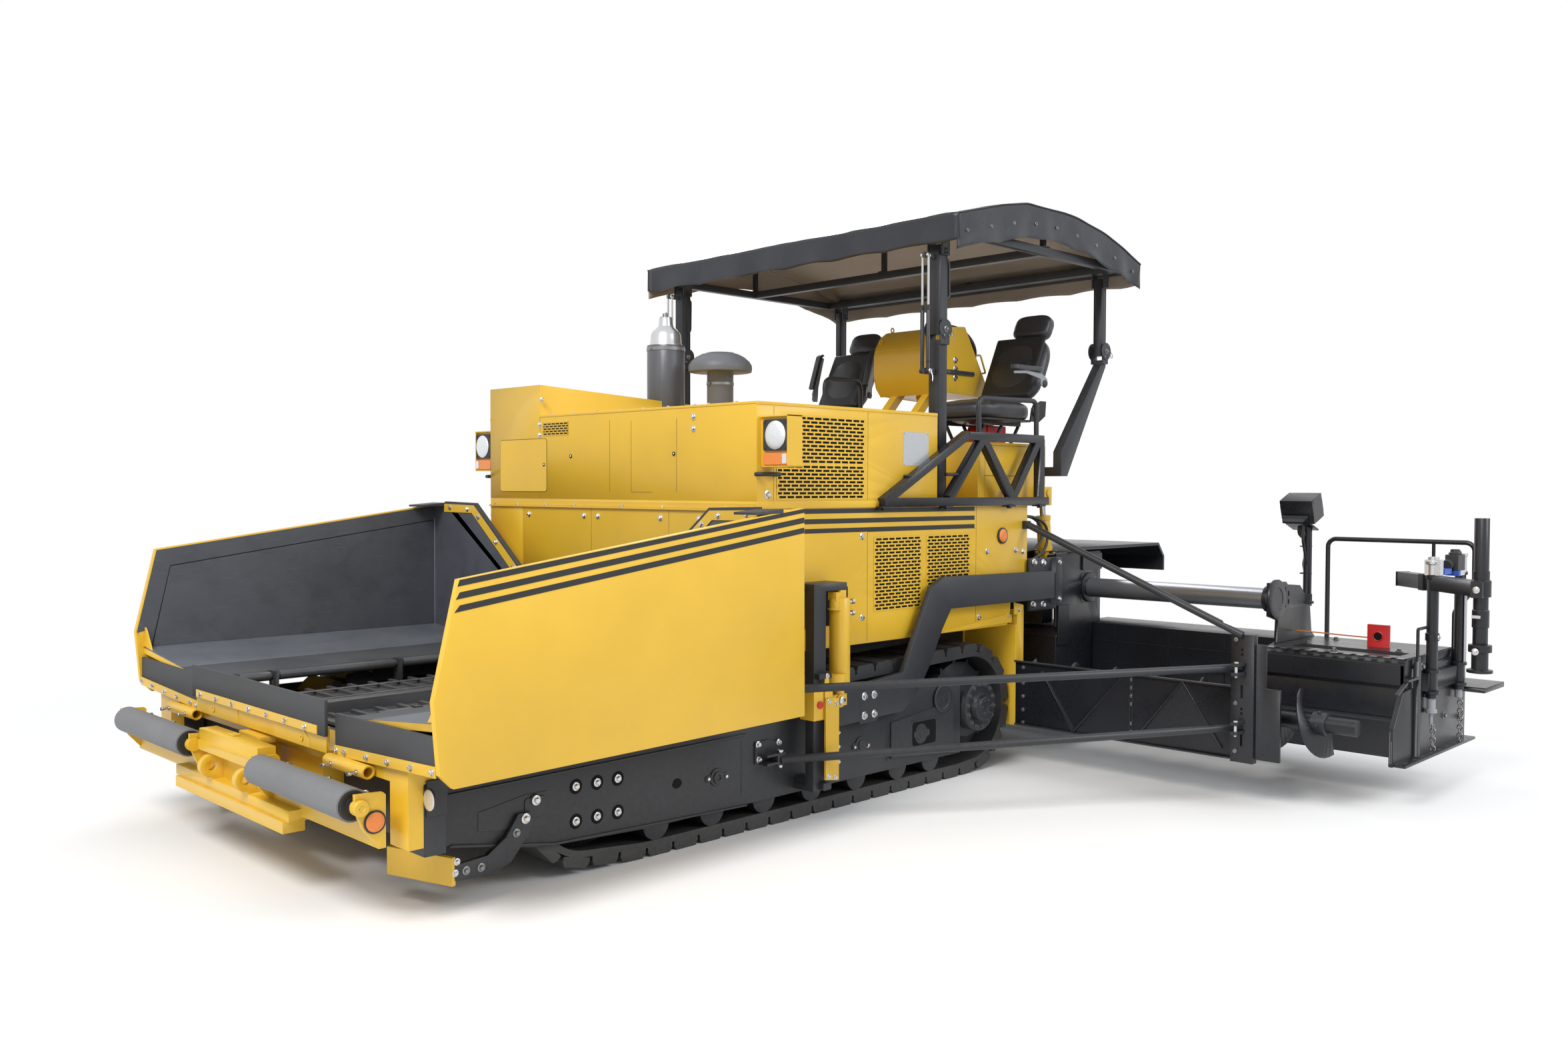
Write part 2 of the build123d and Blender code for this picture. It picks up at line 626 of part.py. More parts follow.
# Extension: box, end plate, disc and the telescopic guide tube
with BuildPart() as extension:
    end_y = extension_outer_y + 20
    side_profile([(extension_front_x, sole_z), (extension_front_x, box_top), (extension_rear_x, box_top),
                  (extension_rear_x, sole_z)], extension_inner_y, extension_outer_y)
    block(extension_rear_x + 20, extension_front_x - 20, extension_inner_y, extension_outer_y,
          sole_z + 20, box_top - 20, Mode.SUBTRACT)
    side_profile([(-1960, 240), (-1960, 760), (-2190, 800), (-2200, 930), (-2080, 960), (-2080, 1160), (-2310, 1157),
                  (-2330, 1140), (-2510, 1126), (-2660, 1012), (-2690, 826), (-2760, 780), (-2760, 240)],
                 extension_outer_y, end_y)
    round_bar((guide_x, extension_inner_y, guide_z), (guide_x, extension_outer_y, guide_z), guide_radius)
    round_bar((guide_x, end_y, guide_z), (guide_x, end_y + 15, guide_z), 118)
    block(extension_rear_x - 300, extension_rear_x, 1300, extension_outer_y, 420, 450)
    round_bar((-2640, end_y - 10, 1000), (-2640, end_y - 10, 1480), 25)
    round_bar((-2640, end_y - 10, 1470), (-2600, end_y - 30, 1560), 25)
    with Locations(Location((-2590, end_y - 30, 1600), (0, 20, 0))):
        Box(150, 200, 150)
write_pair("extension", extension)

# Bolt-on screed beyond the extension, with its end gate, handrail and sensor arm
gate_y = screed_end_y + 15
with BuildPart() as screed_end:
    side_profile([(-1995, sole_z), (-1995, 625), (bolt_on_front_x, 655), (bolt_on_front_x, 765), (-2010, 790), (-2750, 790),
                  (-2750, sole_z)], extension_outer_y + 20, screed_end_y)
    block(-2730, -2015, extension_outer_y + 20, screed_end_y - 20, sole_z + 20, 715, Mode.SUBTRACT)
    side_profile([(-1740, sole_z), (-1740, 445), (-1870, 622), (-2040, 632), (-2060, 735), (-2915, 735), (-2915, sole_z)],
                 screed_end_y, gate_y)
    block(-2915, -1760, gate_y, gate_y + 60, sole_z, sole_z + 15)
    block(-2085, -2050, gate_y, gate_y + 25, sole_z + 15, 800)
    bent_tube([(-2730, 2600, 780), (-2730, 2600, 1410), (-2730, 3440, 1410), (-2730, 3440, 1150), (-2730, 3337, 1000),
               (-2730, 3337, 700)], 14, 50)
    round_bar((-2730, 3217, 780), (-2730, 3217, 1408), 10)
    round_bar((-2230, gate_y + 32, 560), (-2230, gate_y + 32, 1240), 30)
    round_bar((-2690, gate_y + 32, 560), (-2690, gate_y + 32, 1240), 30)
    block(-2740, -2180, gate_y, gate_y + 32, 600, 700)
    square_bar((-2480, 3130, 1200), (-1950, 3700, 1200), 80)
    round_bar((-1950, 3700, 760), (-1950, 3700, 1570), 36)
    block(-3115, -2750, screed_end_y - 700, screed_end_y + 170, 540, 570)
    block(-2440, -2415, 2960, 3082, 740, 925)
write_pair("screed_end", screed_end)

# Lift cylinders from the body's rear to the screed
lift_run = Vector(lift_eye_x - lift_top_x, 0, lift_eye_z - lift_top_z)
lift_way = lift_run.normalized()


def lift_point(distance):
    """A point on the lift cylinder's line, at a distance below its top pin."""
    return (lift_top_x + lift_way.X * distance, lift_y, lift_top_z + lift_way.Z * distance)


with BuildPart() as lift_rods:
    round_bar((lift_top_x, lift_y - 29, lift_top_z), (lift_top_x, lift_y + 29, lift_top_z), 32)
    round_bar(lift_point(20), lift_point(355), 20)
    round_bar((lift_top_x, lift_y - 30, lift_top_z), (lift_top_x, lift_y + 30, lift_top_z), lift_pin, Mode.SUBTRACT)
    mirror(about=Plane.XZ)
write_part("lift_rods", lift_rods)

with BuildPart() as lift_barrels:
    round_bar(lift_point(150), lift_point(375), 45)
    round_bar(lift_point(370), lift_point(425), 25)
    round_bar((lift_eye_x, lift_y - 29, lift_eye_z), (lift_eye_x, lift_y + 29, lift_eye_z), 36)
    round_bar((lift_eye_x, lift_y - 30, lift_eye_z), (lift_eye_x, lift_y + 30, lift_eye_z), lift_pin + 0.1, Mode.SUBTRACT)
    round_bar(lift_point(149), lift_point(365), 21, Mode.SUBTRACT)
    mirror(about=Plane.XZ)
write_part("lift_barrels", lift_barrels)

# Seat boxes, seats and console
with BuildPart() as seat_boxes:
    block(-1880, -1040, 380, 1080, hood_base, 2000)
    block(-1660, -1040, 1080, 1150, hood_base, 2000)
    block(-1690, -1060, 400, 1060, hood_base, 1980, Mode.SUBTRACT)
    mirror(about=Plane.XZ)
write_part("seat_boxes", seat_boxes)

with BuildPart() as seats:
    block(-1800, -1380, 600, 940, 2000, 2156)
    block(-1900, -1300, 520, 1020, 2156, 2292)
    side_profile([(-1900, 2292), (-1790, 2292), (-2092, 2760), (-2200, 2760)], 545, 995)
    side_profile([(-2092, 2760), (-2105, 2785), (-2190, 2920), (-2285, 2920), (-2200, 2760)], 630, 910)
    mirror(about=Plane.XZ)
write_part("seats", seats)

console_y0 = -80
console_y1 = 500
# Steering wheel, turning on the end of its tilted column
wheel_base_x = -1870
wheel_base_z = 2649
wheel_y = 250
wheel_tilt = 57
column_length = 100


def column_point(distance):
    """A point on the steering column, at a distance out of the console."""
    tilt = math.radians(wheel_tilt)
    return (wheel_base_x - distance * math.sin(tilt), wheel_y, wheel_base_z + distance * math.cos(tilt))


with BuildPart() as console:
    side_profile([(-1560, 2370), (-1500, 2460), (-1500, 2680), (-1620, 2810), (-1760, 2820), (-2030, 2400), (-1990, 2350)],
                 console_y0, console_y1)
    for y in (20, 300):
        side_profile([(-930, hood_base), (-850, hood_base), (-1570, 2380), (-1650, 2380)], y, y + 60)
    round_bar(column_point(-20), column_point(column_length), 30)
write_part("console", console)

with BuildPart() as wheel:
    round_bar(column_point(column_length + 0.3), column_point(140), 22)
    with Locations(Location(column_point(131), (0, -wheel_tilt, 0))):
        Torus(165, 14)
        Box(330, 34, 14)
        Box(34, 330, 14)
        Cylinder(38, 34)
write_part("steering_wheel", wheel)

# Railings beside the deck
with BuildPart() as railings:
    rail_y = body_half + 25
    for start, end in (((-33, 1640), (-1640, 1640)), ((-33, 1640), (-795, 2037)), ((-795, 2030), (-1582, 2030)),
                       ((-1560, 1640), (-1560, 2030)), ((-618, 1660), (-946, 2020)), ((-1253, 1660), (-946, 2020)),
                       ((-1253, 1660), (-1530, 2020))):
        square_bar((start[0], rail_y, start[1]), (end[0], rail_y, end[1]), 50)
    mirror(about=Plane.XZ)
write_part("railings", railings)

# Canopy: lower posts with their knuckle ears
ear_thickness = 12
ear_gap = 6
knuckle_pin = 12
rear_post_y = 1190
rear_post_size = 60


def knuckle_ears(x, y, size, z0, z1, pin_z):
    """Two ears beside a post, bored for its pin."""
    half = size / 2 + ear_gap
    for side in (-1, 1):
        block(x - size / 2, x + size / 2, y + side * half, y + side * (half + ear_thickness), z0, z1)
    reach = half + ear_thickness + 1
    round_bar((x, y - reach, pin_z), (x, y + reach, pin_z), knuckle_pin + 0.1, Mode.SUBTRACT)


def folding_post(x, y, size):
    """A post between its elbow pin and its roof pin, with both pins."""
    block(x - size / 2, x + size / 2, y - size / 2, y + size / 2, elbow_z - 30, elbow_z + upper_post + 30)
    reach = size / 2 + ear_gap + ear_thickness
    for z in (elbow_z, elbow_z + upper_post):
        round_bar((x, y - reach, z), (x, y + reach, z), knuckle_pin)


strut_x = -520
strut_low_z = 2400
strut_high_z = 3070
strut_offset = 22
strut_pin = 6
with BuildPart() as lower_posts:
    block(post_x - post_size / 2, post_x + post_size / 2, post_y - post_size / 2, post_y + post_size / 2,
          hood_base, elbow_z - 65)
    block(post_x - post_size / 2, post_x + post_size / 2, post_y - post_size / 2 - ear_gap - ear_thickness,
          post_y + post_size / 2 + ear_gap + ear_thickness, elbow_z - 90, elbow_z - 65)
    knuckle_ears(post_x, post_y, post_size, elbow_z - 65, elbow_z + 35, elbow_z)
    block(post_x, strut_x + 15, post_y - 9, post_y + 9, strut_low_z - 18, strut_low_z + 18)
    round_bar((strut_x, post_y - 36, strut_low_z), (strut_x, post_y + 36, strut_low_z), strut_pin)
    side_profile([(-1850, 1800), (-1850, 1960), (rear_elbow_x + 30, elbow_z - 90), (rear_elbow_x + 30, elbow_z - 60),
                  (rear_elbow_x - 30, elbow_z - 60), (rear_elbow_x - 30, elbow_z - 100), (-1925, 1800)],
                 rear_post_y - 30, rear_post_y + 30)
    block(rear_elbow_x - 30, rear_elbow_x + 30, rear_post_y - 30 - ear_gap - ear_thickness,
          rear_post_y + 30 + ear_gap + ear_thickness, elbow_z - 85, elbow_z - 60)
    knuckle_ears(rear_elbow_x, rear_post_y, rear_post_size, elbow_z - 60, elbow_z + 30, elbow_z)
    block(-1925, -1850, 1080, rear_post_y + 30, 1800, 1860)
    mirror(about=Plane.XZ)
write_part("canopy_lower_posts", lower_posts)

with BuildPart() as front_posts:
    folding_post(post_x, post_y, post_size)
    block(post_x, strut_x + 15, post_y - 10, post_y + 10, strut_high_z - 15, strut_high_z + 15)
    mirror(about=Plane.XZ)
write_part("canopy_front_posts", front_posts)

with BuildPart() as rear_posts:
    folding_post(rear_elbow_x, rear_post_y, rear_post_size)
    mirror(about=Plane.XZ)
write_part("canopy_rear_posts", rear_posts)

# Roof frame with the ears that the posts' upper pins turn in
roof_pin_z = elbow_z + upper_post
roof_tube_z = roof_pin_z + 65
roof_tube = 50
cover_sheet = 15
cover_top = 3455
cover_over = [(roof_rear_x, 3255), (-2143, 3379), (-1900, 3424), (-1673, cover_top), (-1206, cover_top), (roof_front_x, 3297)]
cover_under = [(x, z - cover_sheet) for x, z in cover_over]
with BuildPart() as roof_frame:
    for y in (-1300, 1300):
        block(roof_rear_x + 60, roof_front_x - 60, y - 25, y + 25, roof_tube_z, roof_tube_z + roof_tube)
    for x in (roof_rear_x + 60, -1500, roof_front_x - 60):
        block(x - 25, x + 25, -1300, 1300, roof_tube_z, roof_tube_z + roof_tube)
    for x, y, size in ((post_x, post_y, post_size), (rear_elbow_x, rear_post_y, rear_post_size),
                       (post_x, -post_y, post_size), (rear_elbow_x, -rear_post_y, rear_post_size)):
        block(x - 45, x + 45, -1300, 1300, roof_tube_z, roof_tube_z + roof_tube)
        knuckle_ears(x, y, size, roof_pin_z - 30, roof_tube_z, roof_pin_z)
    for x in (roof_rear_x + 60, -1500, roof_front_x - 60):
        for y in (-1300, 0, 1300):
            block(x - 15, x + 15, y - 15, y + 15, roof_tube_z + roof_tube, cover_top)
    side_profile(cover_under + [(roof_front_x, cover_top + 10), (roof_rear_x, cover_top + 10)], -roof_half, roof_half, Mode.SUBTRACT)
write_part("roof_frame", roof_frame)

# Cover: an arched sheet with hanging edges
with BuildPart() as cover:
    side_profile(cover_over + cover_under[::-1], -roof_half, roof_half)
    for y0, y1 in ((roof_half - 12, roof_half), (-roof_half, 12 - roof_half)):
        side_profile([(roof_rear_x, 3070), (-2313, 3124), (-1809, 3219), (-1366, 3239), (-1140, 3208), (roof_front_x, 3072),
                      cover_over[-1], *cover_over[-2::-1]], y0, y1)
    block(roof_front_x - 12, roof_front_x, -roof_half, roof_half, 3118, 3290)
    block(roof_rear_x, roof_rear_x + 12, -roof_half, roof_half, 3085, 3250)
write_part("canopy_cover", cover)

# Gas struts beside the front posts
with BuildPart() as strut_barrels:
    for y in (post_y - strut_offset, post_y + strut_offset):
        round_bar((strut_x, y, strut_low_z + 5), (strut_x, y, 2770), 12)
        round_bar((strut_x, y - 12, strut_low_z), (strut_x, y + 12, strut_low_z), 14)
        round_bar((strut_x, y - 13, strut_low_z), (strut_x, y + 13, strut_low_z), strut_pin + 0.1, Mode.SUBTRACT)
        round_bar((strut_x, y, 2430), (strut_x, y, 2771), 7.5, Mode.SUBTRACT)
    mirror(about=Plane.XZ)
write_part("strut_barrels", strut_barrels)

with BuildPart() as strut_rods:
    for y in (post_y - strut_offset, post_y + strut_offset):
        round_bar((strut_x, y, 2680), (strut_x, y, strut_high_z), 7)
        round_bar((strut_x, y - 7, strut_high_z), (strut_x, y + 7, strut_high_z), 14)
    mirror(about=Plane.XZ)
write_part("strut_rods", strut_rods)
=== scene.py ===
import bpy
import bmesh
import math
from mathutils import Matrix, Vector, noise


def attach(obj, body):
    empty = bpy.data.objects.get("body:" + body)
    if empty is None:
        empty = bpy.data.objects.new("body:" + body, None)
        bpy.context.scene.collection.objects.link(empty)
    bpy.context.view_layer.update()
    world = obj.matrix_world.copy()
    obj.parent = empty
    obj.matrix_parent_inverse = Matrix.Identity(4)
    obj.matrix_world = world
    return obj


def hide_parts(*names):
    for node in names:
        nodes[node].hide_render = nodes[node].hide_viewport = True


# Asphalt paver. Lengths in the piece calls are millimetres in the CAD frame; objects are in metres.
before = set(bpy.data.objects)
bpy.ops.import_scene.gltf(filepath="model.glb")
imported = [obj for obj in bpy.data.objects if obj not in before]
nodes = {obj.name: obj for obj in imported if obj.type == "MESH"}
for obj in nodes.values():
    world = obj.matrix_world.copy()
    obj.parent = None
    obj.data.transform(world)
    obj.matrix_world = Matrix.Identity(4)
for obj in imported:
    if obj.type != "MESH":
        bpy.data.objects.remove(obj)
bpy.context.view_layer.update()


# ---------------------------------------------------------------- materials

def feed(tree, inputs, values):
    """Numbers, colours and other nodes' outputs into sockets, which go by name or number."""
    for key, value in values.items():
        if isinstance(value, bpy.types.NodeSocket):
            tree.links.new(value, inputs[key])
        else:
            inputs[key].default_value = (*value, 1.0) if inputs[key].type == "RGBA" else value


def add_node(tree, kind, inputs, **settings):
    node = tree.nodes.new(kind)
    for key, value in settings.items():
        setattr(node, key, value)
    feed(tree, node.inputs, inputs)
    return node


def noise_node(tree, coord, scale, detail=4.0, rough=0.55, stretch=None):
    """A noise texture over the object's own coordinates, in metres."""
    if stretch:
        coord = add_node(tree, "ShaderNodeMapping", {"Scale": stretch, "Vector": coord}).outputs["Vector"]
    sockets = {"Scale": scale, "Detail": detail, "Roughness": rough, "Vector": coord}
    return add_node(tree, "ShaderNodeTexNoise", sockets).outputs["Fac"]


def ramp(tree, value, low, high, out_low=0.0, out_high=1.0):
    sockets = {"From Min": low, "From Max": high, "To Min": out_low, "To Max": out_high, "Value": value}
    return add_node(tree, "ShaderNodeMapRange", sockets, clamp=True).outputs["Result"]


def maths(tree, kind, a, b):
    return add_node(tree, "ShaderNodeMath", {0: a, 1: b}, operation=kind).outputs[0]


def mix_colour(tree, factor, a, b):
    return add_node(tree, "ShaderNodeMix", {0: factor, 6: a, 7: b}, data_type="RGBA").outputs[2]


def surface(name, base, rough=0.5, metal=0.0, vary=0.12, spread=0.1, bump=0.15, grain=900.0, dust=0.0,
            dust_tint=(0.30, 0.26, 0.20), scratch=0.0, scratch_tint=(0.35, 0.36, 0.38), coat=0.0, low_dust=0.0,
            wave=None, weave=None, blotch=0.0, blotch_tint=(0.02, 0.02, 0.02), specular=0.5, stretch=None):
    """A finish with uneven tone and gloss, fine grain, and dust, scratches and stains where they are asked for."""
    material = bpy.data.materials.new(name)
    material.use_nodes = True
    tree = material.node_tree
    shader = tree.nodes["Principled BSDF"]
    coord = add_node(tree, "ShaderNodeTexCoord", {}).outputs["Object"]
    cloud = noise_node(tree, coord, 2.3, 6.0, 0.6)
    tone = ramp(tree, cloud, 0.3, 0.7)
    darker = tuple(c * (1 - vary) for c in base)
    lighter = tuple(min(1.0, c * (1 + vary * 0.6)) for c in base)
    colour = mix_colour(tree, tone, darker, lighter)
    speck = noise_node(tree, coord, 38.0, 5.0, 0.7)
    if dust or low_dust:
        normal = add_node(tree, "ShaderNodeNewGeometry", {}).outputs["Normal"]
        facing = add_node(tree, "ShaderNodeSeparateXYZ", {0: normal}).outputs["Z"]
        up = ramp(tree, facing, 0.2, 0.95, 0.15)
        amount = maths(tree, "MULTIPLY", up, ramp(tree, speck, 0.38, 0.72, 0.0, dust))
        if low_dust:
            level = add_node(tree, "ShaderNodeSeparateXYZ", {0: coord}).outputs["Z"]
            low = ramp(tree, level, 0.75, 0.05, 0.0, low_dust)
            amount = maths(tree, "MAXIMUM", amount, maths(tree, "MULTIPLY", low, ramp(tree, speck, 0.35, 0.7)))
        colour = mix_colour(tree, amount, colour, dust_tint)
    if blotch:
        stain = noise_node(tree, coord, 5.5, 7.0, 0.75)
        colour = mix_colour(tree, ramp(tree, stain, 0.5, 0.68, 0.0, blotch), colour, blotch_tint)
    if scratch:
        lines = noise_node(tree, coord, 26.0, 3.0, 0.6, stretch or (0.35, 6.0, 6.0))
        colour = mix_colour(tree, ramp(tree, lines, 0.6, 0.75, 0.0, scratch), colour, scratch_tint)
    gloss = maths(tree, "ADD", maths(tree, "MULTIPLY", cloud, 0.6), maths(tree, "MULTIPLY", speck, 0.4))
    height = noise_node(tree, coord, grain, 3.0, 0.5)
    if wave:
        folds = noise_node(tree, coord, wave[0], 4.0, 0.55, wave[2] if len(wave) > 2 else None)
        height = maths(tree, "ADD", maths(tree, "MULTIPLY", folds, wave[1]), maths(tree, "MULTIPLY", height, 0.15))
    if weave:
        cells = add_node(tree, "ShaderNodeTexVoronoi", {"Scale": weave, "Vector": coord}).outputs["Distance"]
        height = maths(tree, "ADD", maths(tree, "MULTIPLY", cells, 0.8), height)
    dent = add_node(tree, "ShaderNodeBump", {"Strength": bump, "Distance": 0.006 if wave else 0.002, "Height": height})
    roughness = ramp(tree, gloss, 0.3, 0.7, max(0.05, rough - spread), min(1.0, rough + spread))
    feed(tree, shader.inputs, {"Metallic": metal, "Coat Weight": coat, "Coat Roughness": 0.12,
                               "Specular IOR Level": specular, "Base Color": colour, "Roughness": roughness,
                               "Normal": dent.outputs["Normal"]})
    return material


YELLOW = surface("yellow_paint", (0.73, 0.445, 0.030), 0.36, vary=0.06, bump=0.06, grain=500.0, dust=0.08, coat=0.12,
                 dust_tint=(0.62, 0.45, 0.12), low_dust=0.06)
DARK = surface("dark_paint", (0.026, 0.028, 0.033), 0.42, specular=0.4, vary=0.18, bump=0.10, grain=600.0, dust=0.16,
               low_dust=0.14, dust_tint=(0.16, 0.15, 0.13))
BLACK = surface("black_paint", (0.013, 0.014, 0.018), 0.30, specular=0.45, vary=0.2, bump=0.10, grain=600.0,
                dust=0.10, dust_tint=(0.12, 0.11, 0.10))
STRIPE = surface("stripe_black", (0.012, 0.012, 0.013), 0.40, vary=0.1, bump=0.03)
HOPPER = surface("hopper_wall", (0.072, 0.079, 0.095), 0.46, vary=0.16, bump=0.12, dust=0.2, scratch=0.12,
                 blotch=0.35, blotch_tint=(0.03, 0.033, 0.038), dust_tint=(0.14, 0.14, 0.14))
BED = surface("hopper_bed", (0.155, 0.170, 0.195), 0.42, metal=0.25, vary=0.15, bump=0.14, blotch=0.3, scratch=0.30,
              blotch_tint=(0.07, 0.075, 0.085))
WORN = surface("worn_steel", (0.075, 0.078, 0.084), 0.42, metal=0.35, vary=0.25, bump=0.25, dust=0.3, scratch=0.4,
               low_dust=0.2, scratch_tint=(0.22, 0.22, 0.23), dust_tint=(0.17, 0.15, 0.12))
SHOE = surface("track_shoe", (0.040, 0.042, 0.045), 0.48, metal=0.2, vary=0.25, bump=0.3, dust=0.35, low_dust=0.25,
               dust_tint=(0.16, 0.14, 0.115))
RUBBER = surface("roller_rubber", (0.19, 0.193, 0.20), 0.62, vary=0.14, bump=0.22, grain=350.0, dust=0.35,
                 dust_tint=(0.25, 0.24, 0.23), specular=0.3)
APRON = surface("apron_rubber", (0.058, 0.060, 0.064), 0.68, vary=0.2, bump=0.25, grain=250.0, dust=0.25,
                dust_tint=(0.18, 0.17, 0.16), specular=0.25)
TYRE_GREY = surface("grey_plastic", (0.13, 0.138, 0.155), 0.45, vary=0.08, bump=0.1, grain=700.0, dust=0.15,
                    dust_tint=(0.25, 0.24, 0.23))
CHROME = surface("bright_bolt", (0.62, 0.62, 0.63), 0.24, metal=1.0, vary=0.1, spread=0.08, bump=0.05)
SILVER = surface("guide_tube_steel", (0.30, 0.31, 0.34), 0.36, metal=0.75, vary=0.06, spread=0.05, bump=0.04,
                 stretch=(6, 0.3, 6), scratch=0.2, scratch_tint=(0.25, 0.26, 0.3))
STEEL = surface("bare_steel", (0.26, 0.26, 0.27), 0.32, metal=0.9, vary=0.2, bump=0.1)
VINYL = surface("black_vinyl", (0.017, 0.019, 0.027), 0.26, vary=0.25, bump=0.5, wave=(5.0, 1.0, (1.0, 0.35, 1.6)),
                dust=0.12, dust_tint=(0.12, 0.12, 0.12))
LINING = surface("canopy_lining", (0.42, 0.35, 0.28), 0.8, vary=0.1, bump=0.35, wave=(6.0, 0.8), weave=520.0,
                 specular=0.2)
LEATHER = surface("black_leather", (0.040, 0.041, 0.047), 0.30, vary=0.2, bump=0.28, grain=260.0, weave=420.0)
PLASTIC = surface("black_plastic", (0.022, 0.022, 0.024), bump=0.12, grain=800.0)
GREY = surface("grey_paint", (0.30, 0.31, 0.33), 0.38, vary=0.08, bump=0.06, dust=0.1)
MUFFLER = surface("muffler_paint", (0.10, 0.105, 0.125), 0.36, metal=0.2, vary=0.15, bump=0.12, dust=0.2,
                  dust_tint=(0.2, 0.19, 0.18))
ALLOY = surface("bright_alloy", (0.62, 0.63, 0.65), 0.28, metal=0.9, vary=0.08, bump=0.06)
RED = surface("red_paint", (0.60, 0.020, 0.025), 0.36, vary=0.08, bump=0.05)
ORANGE = surface("orange_rope", (0.75, 0.20, 0.03), 0.75, vary=0.15, bump=0.5, weave=900.0)
PALE = surface("pale_plate", (0.48, 0.50, 0.52), 0.30, metal=0.5, vary=0.02, bump=0.04)
# Near-black painted shade, laid in holes, slots, recesses and gaps, and on the track frames' low inner faces
PAINTED_SHADE = surface("painted_shade_black", (0.010, 0.010, 0.011), 0.8, vary=0.2, bump=0.1, specular=0.1)
AMBER = surface("amber_lens", (0.85, 0.22, 0.01), 0.16, vary=0.06, bump=0.6, weave=140.0, coat=0.6, specular=0.6)
LENS = surface("clear_lens", (0.78, 0.80, 0.82), 0.10, metal=0.55, vary=0.05, bump=0.5, weave=110.0, coat=0.8)
FLOOR = surface("hopper_floor", (0.075, 0.080, 0.088), 0.45, metal=0.2, vary=0.2, bump=0.14, blotch=0.45,
                scratch=0.25, blotch_tint=(0.03, 0.032, 0.035), scratch_tint=(0.2, 0.21, 0.22))
SEAM = surface("joint_line", (0.16, 0.10, 0.02), 0.6, vary=0.1, bump=0.05)
BLUE = surface("blue_plastic", (0.03, 0.09, 0.42), 0.4, vary=0.1, bump=0.08)

NODE_FINISH = {name: finish for finish, names in (
    (SHOE, "track_left track_right"),
    (DARK, "track_frames final_drives chassis engine_block scrapers brace_rods leveling_rails tow_arms "
           "canopy_lower_posts canopy_front_posts canopy_rear_posts roof_frame"),
    (WORN, "conveyor auger_left auger_right"),
    (YELLOW, "side_panels deck hood head_lamps front_frame push_beam wing_left wing_right rear_frame "
             "leveling_cylinders tow_slider_left tow_slider_right lift_barrels seat_boxes console"),
    (MUFFLER, "muffler"),
    (TYRE_GREY, "intake"),
    (RUBBER, "push_roller_left push_roller_right"),
    (APRON, "apron_centre apron_left apron_right"),
    (BLACK, "tunnel_plates main_screed screed_cover extension_left extension_right screed_end_left screed_end_right "
            "railings strut_barrels"),
    (CHROME, "lift_rods strut_rods"),
    (LEATHER, "seats"),
    (PLASTIC, "steering_wheel"),
    (VINYL, "canopy_cover")) for name in names.split()}
# Edge radius in mm where it isn't 2.5; 0 leaves the mesh flat shaded
ROUNDED = {"track_left": 0, "track_right": 0, "seats": 0, "canopy_cover": 0, "engine_block": 0, "hood": 4,
           "main_screed": 4, "muffler": 3}


def round_edges(item, radius, segments, angle):
    """A bevel in millimetres over the edges sharper than an angle."""
    bevel = item.modifiers.new("bevel", "BEVEL")
    bevel.width = radius / 1000
    bevel.segments = segments
    bevel.limit_method = "ANGLE"
    bevel.angle_limit = math.radians(angle)
    bevel.use_clamp_overlap = True
    bevel.harden_normals = True


for name, finish in NODE_FINISH.items():
    item = nodes[name]
    item.data.materials.clear()
    item.data.materials.append(finish)
    for face in item.data.polygons:
        face.material_index = 0
    size = ROUNDED.get(name, 2.5)
    if size:
        weld = item.modifiers.new("weld", "WELD")
        weld.merge_threshold = 0.0002
        round_edges(item, size, 2, 38)
        item.data.shade_smooth()
    else:
        item.data.shade_flat()


# ---------------------------------------------------------------- making pieces

FORWARD, BACKWARD = (1, 0, 0), (-1, 0, 0)
LEFT, RIGHT = (0, 1, 0), (0, -1, 0)
UP, DOWN = (0, 0, 1), (0, 0, -1)
MM = 0.001  # metres in a millimetre
SIDES = (("left", 1), ("right", -1))


def place(axis, u, v, w):
    """(u, v) across the axis and w along it, as x, y, z."""
    return {"x": (w, u, v), "y": (u, w, v), "z": (u, v, w)}[axis]


def square_to(way):
    """Two unit vectors square to a direction and to each other."""
    side = way.orthogonal().normalized()
    return side, way.cross(side)


def circle(centre, side, other, radius, count, turn=0.0):
    """Points round a centre, in the plane of two unit vectors."""
    angles = [2 * math.pi * k / count + turn for k in range(count)]
    return [centre + side * (radius * math.cos(a)) + other * (radius * math.sin(a)) for a in angles]


def show(name, data):
    """Links an object with this mesh or curve."""
    item = bpy.data.objects.new(name, data)
    bpy.context.scene.collection.objects.link(item)
    return item


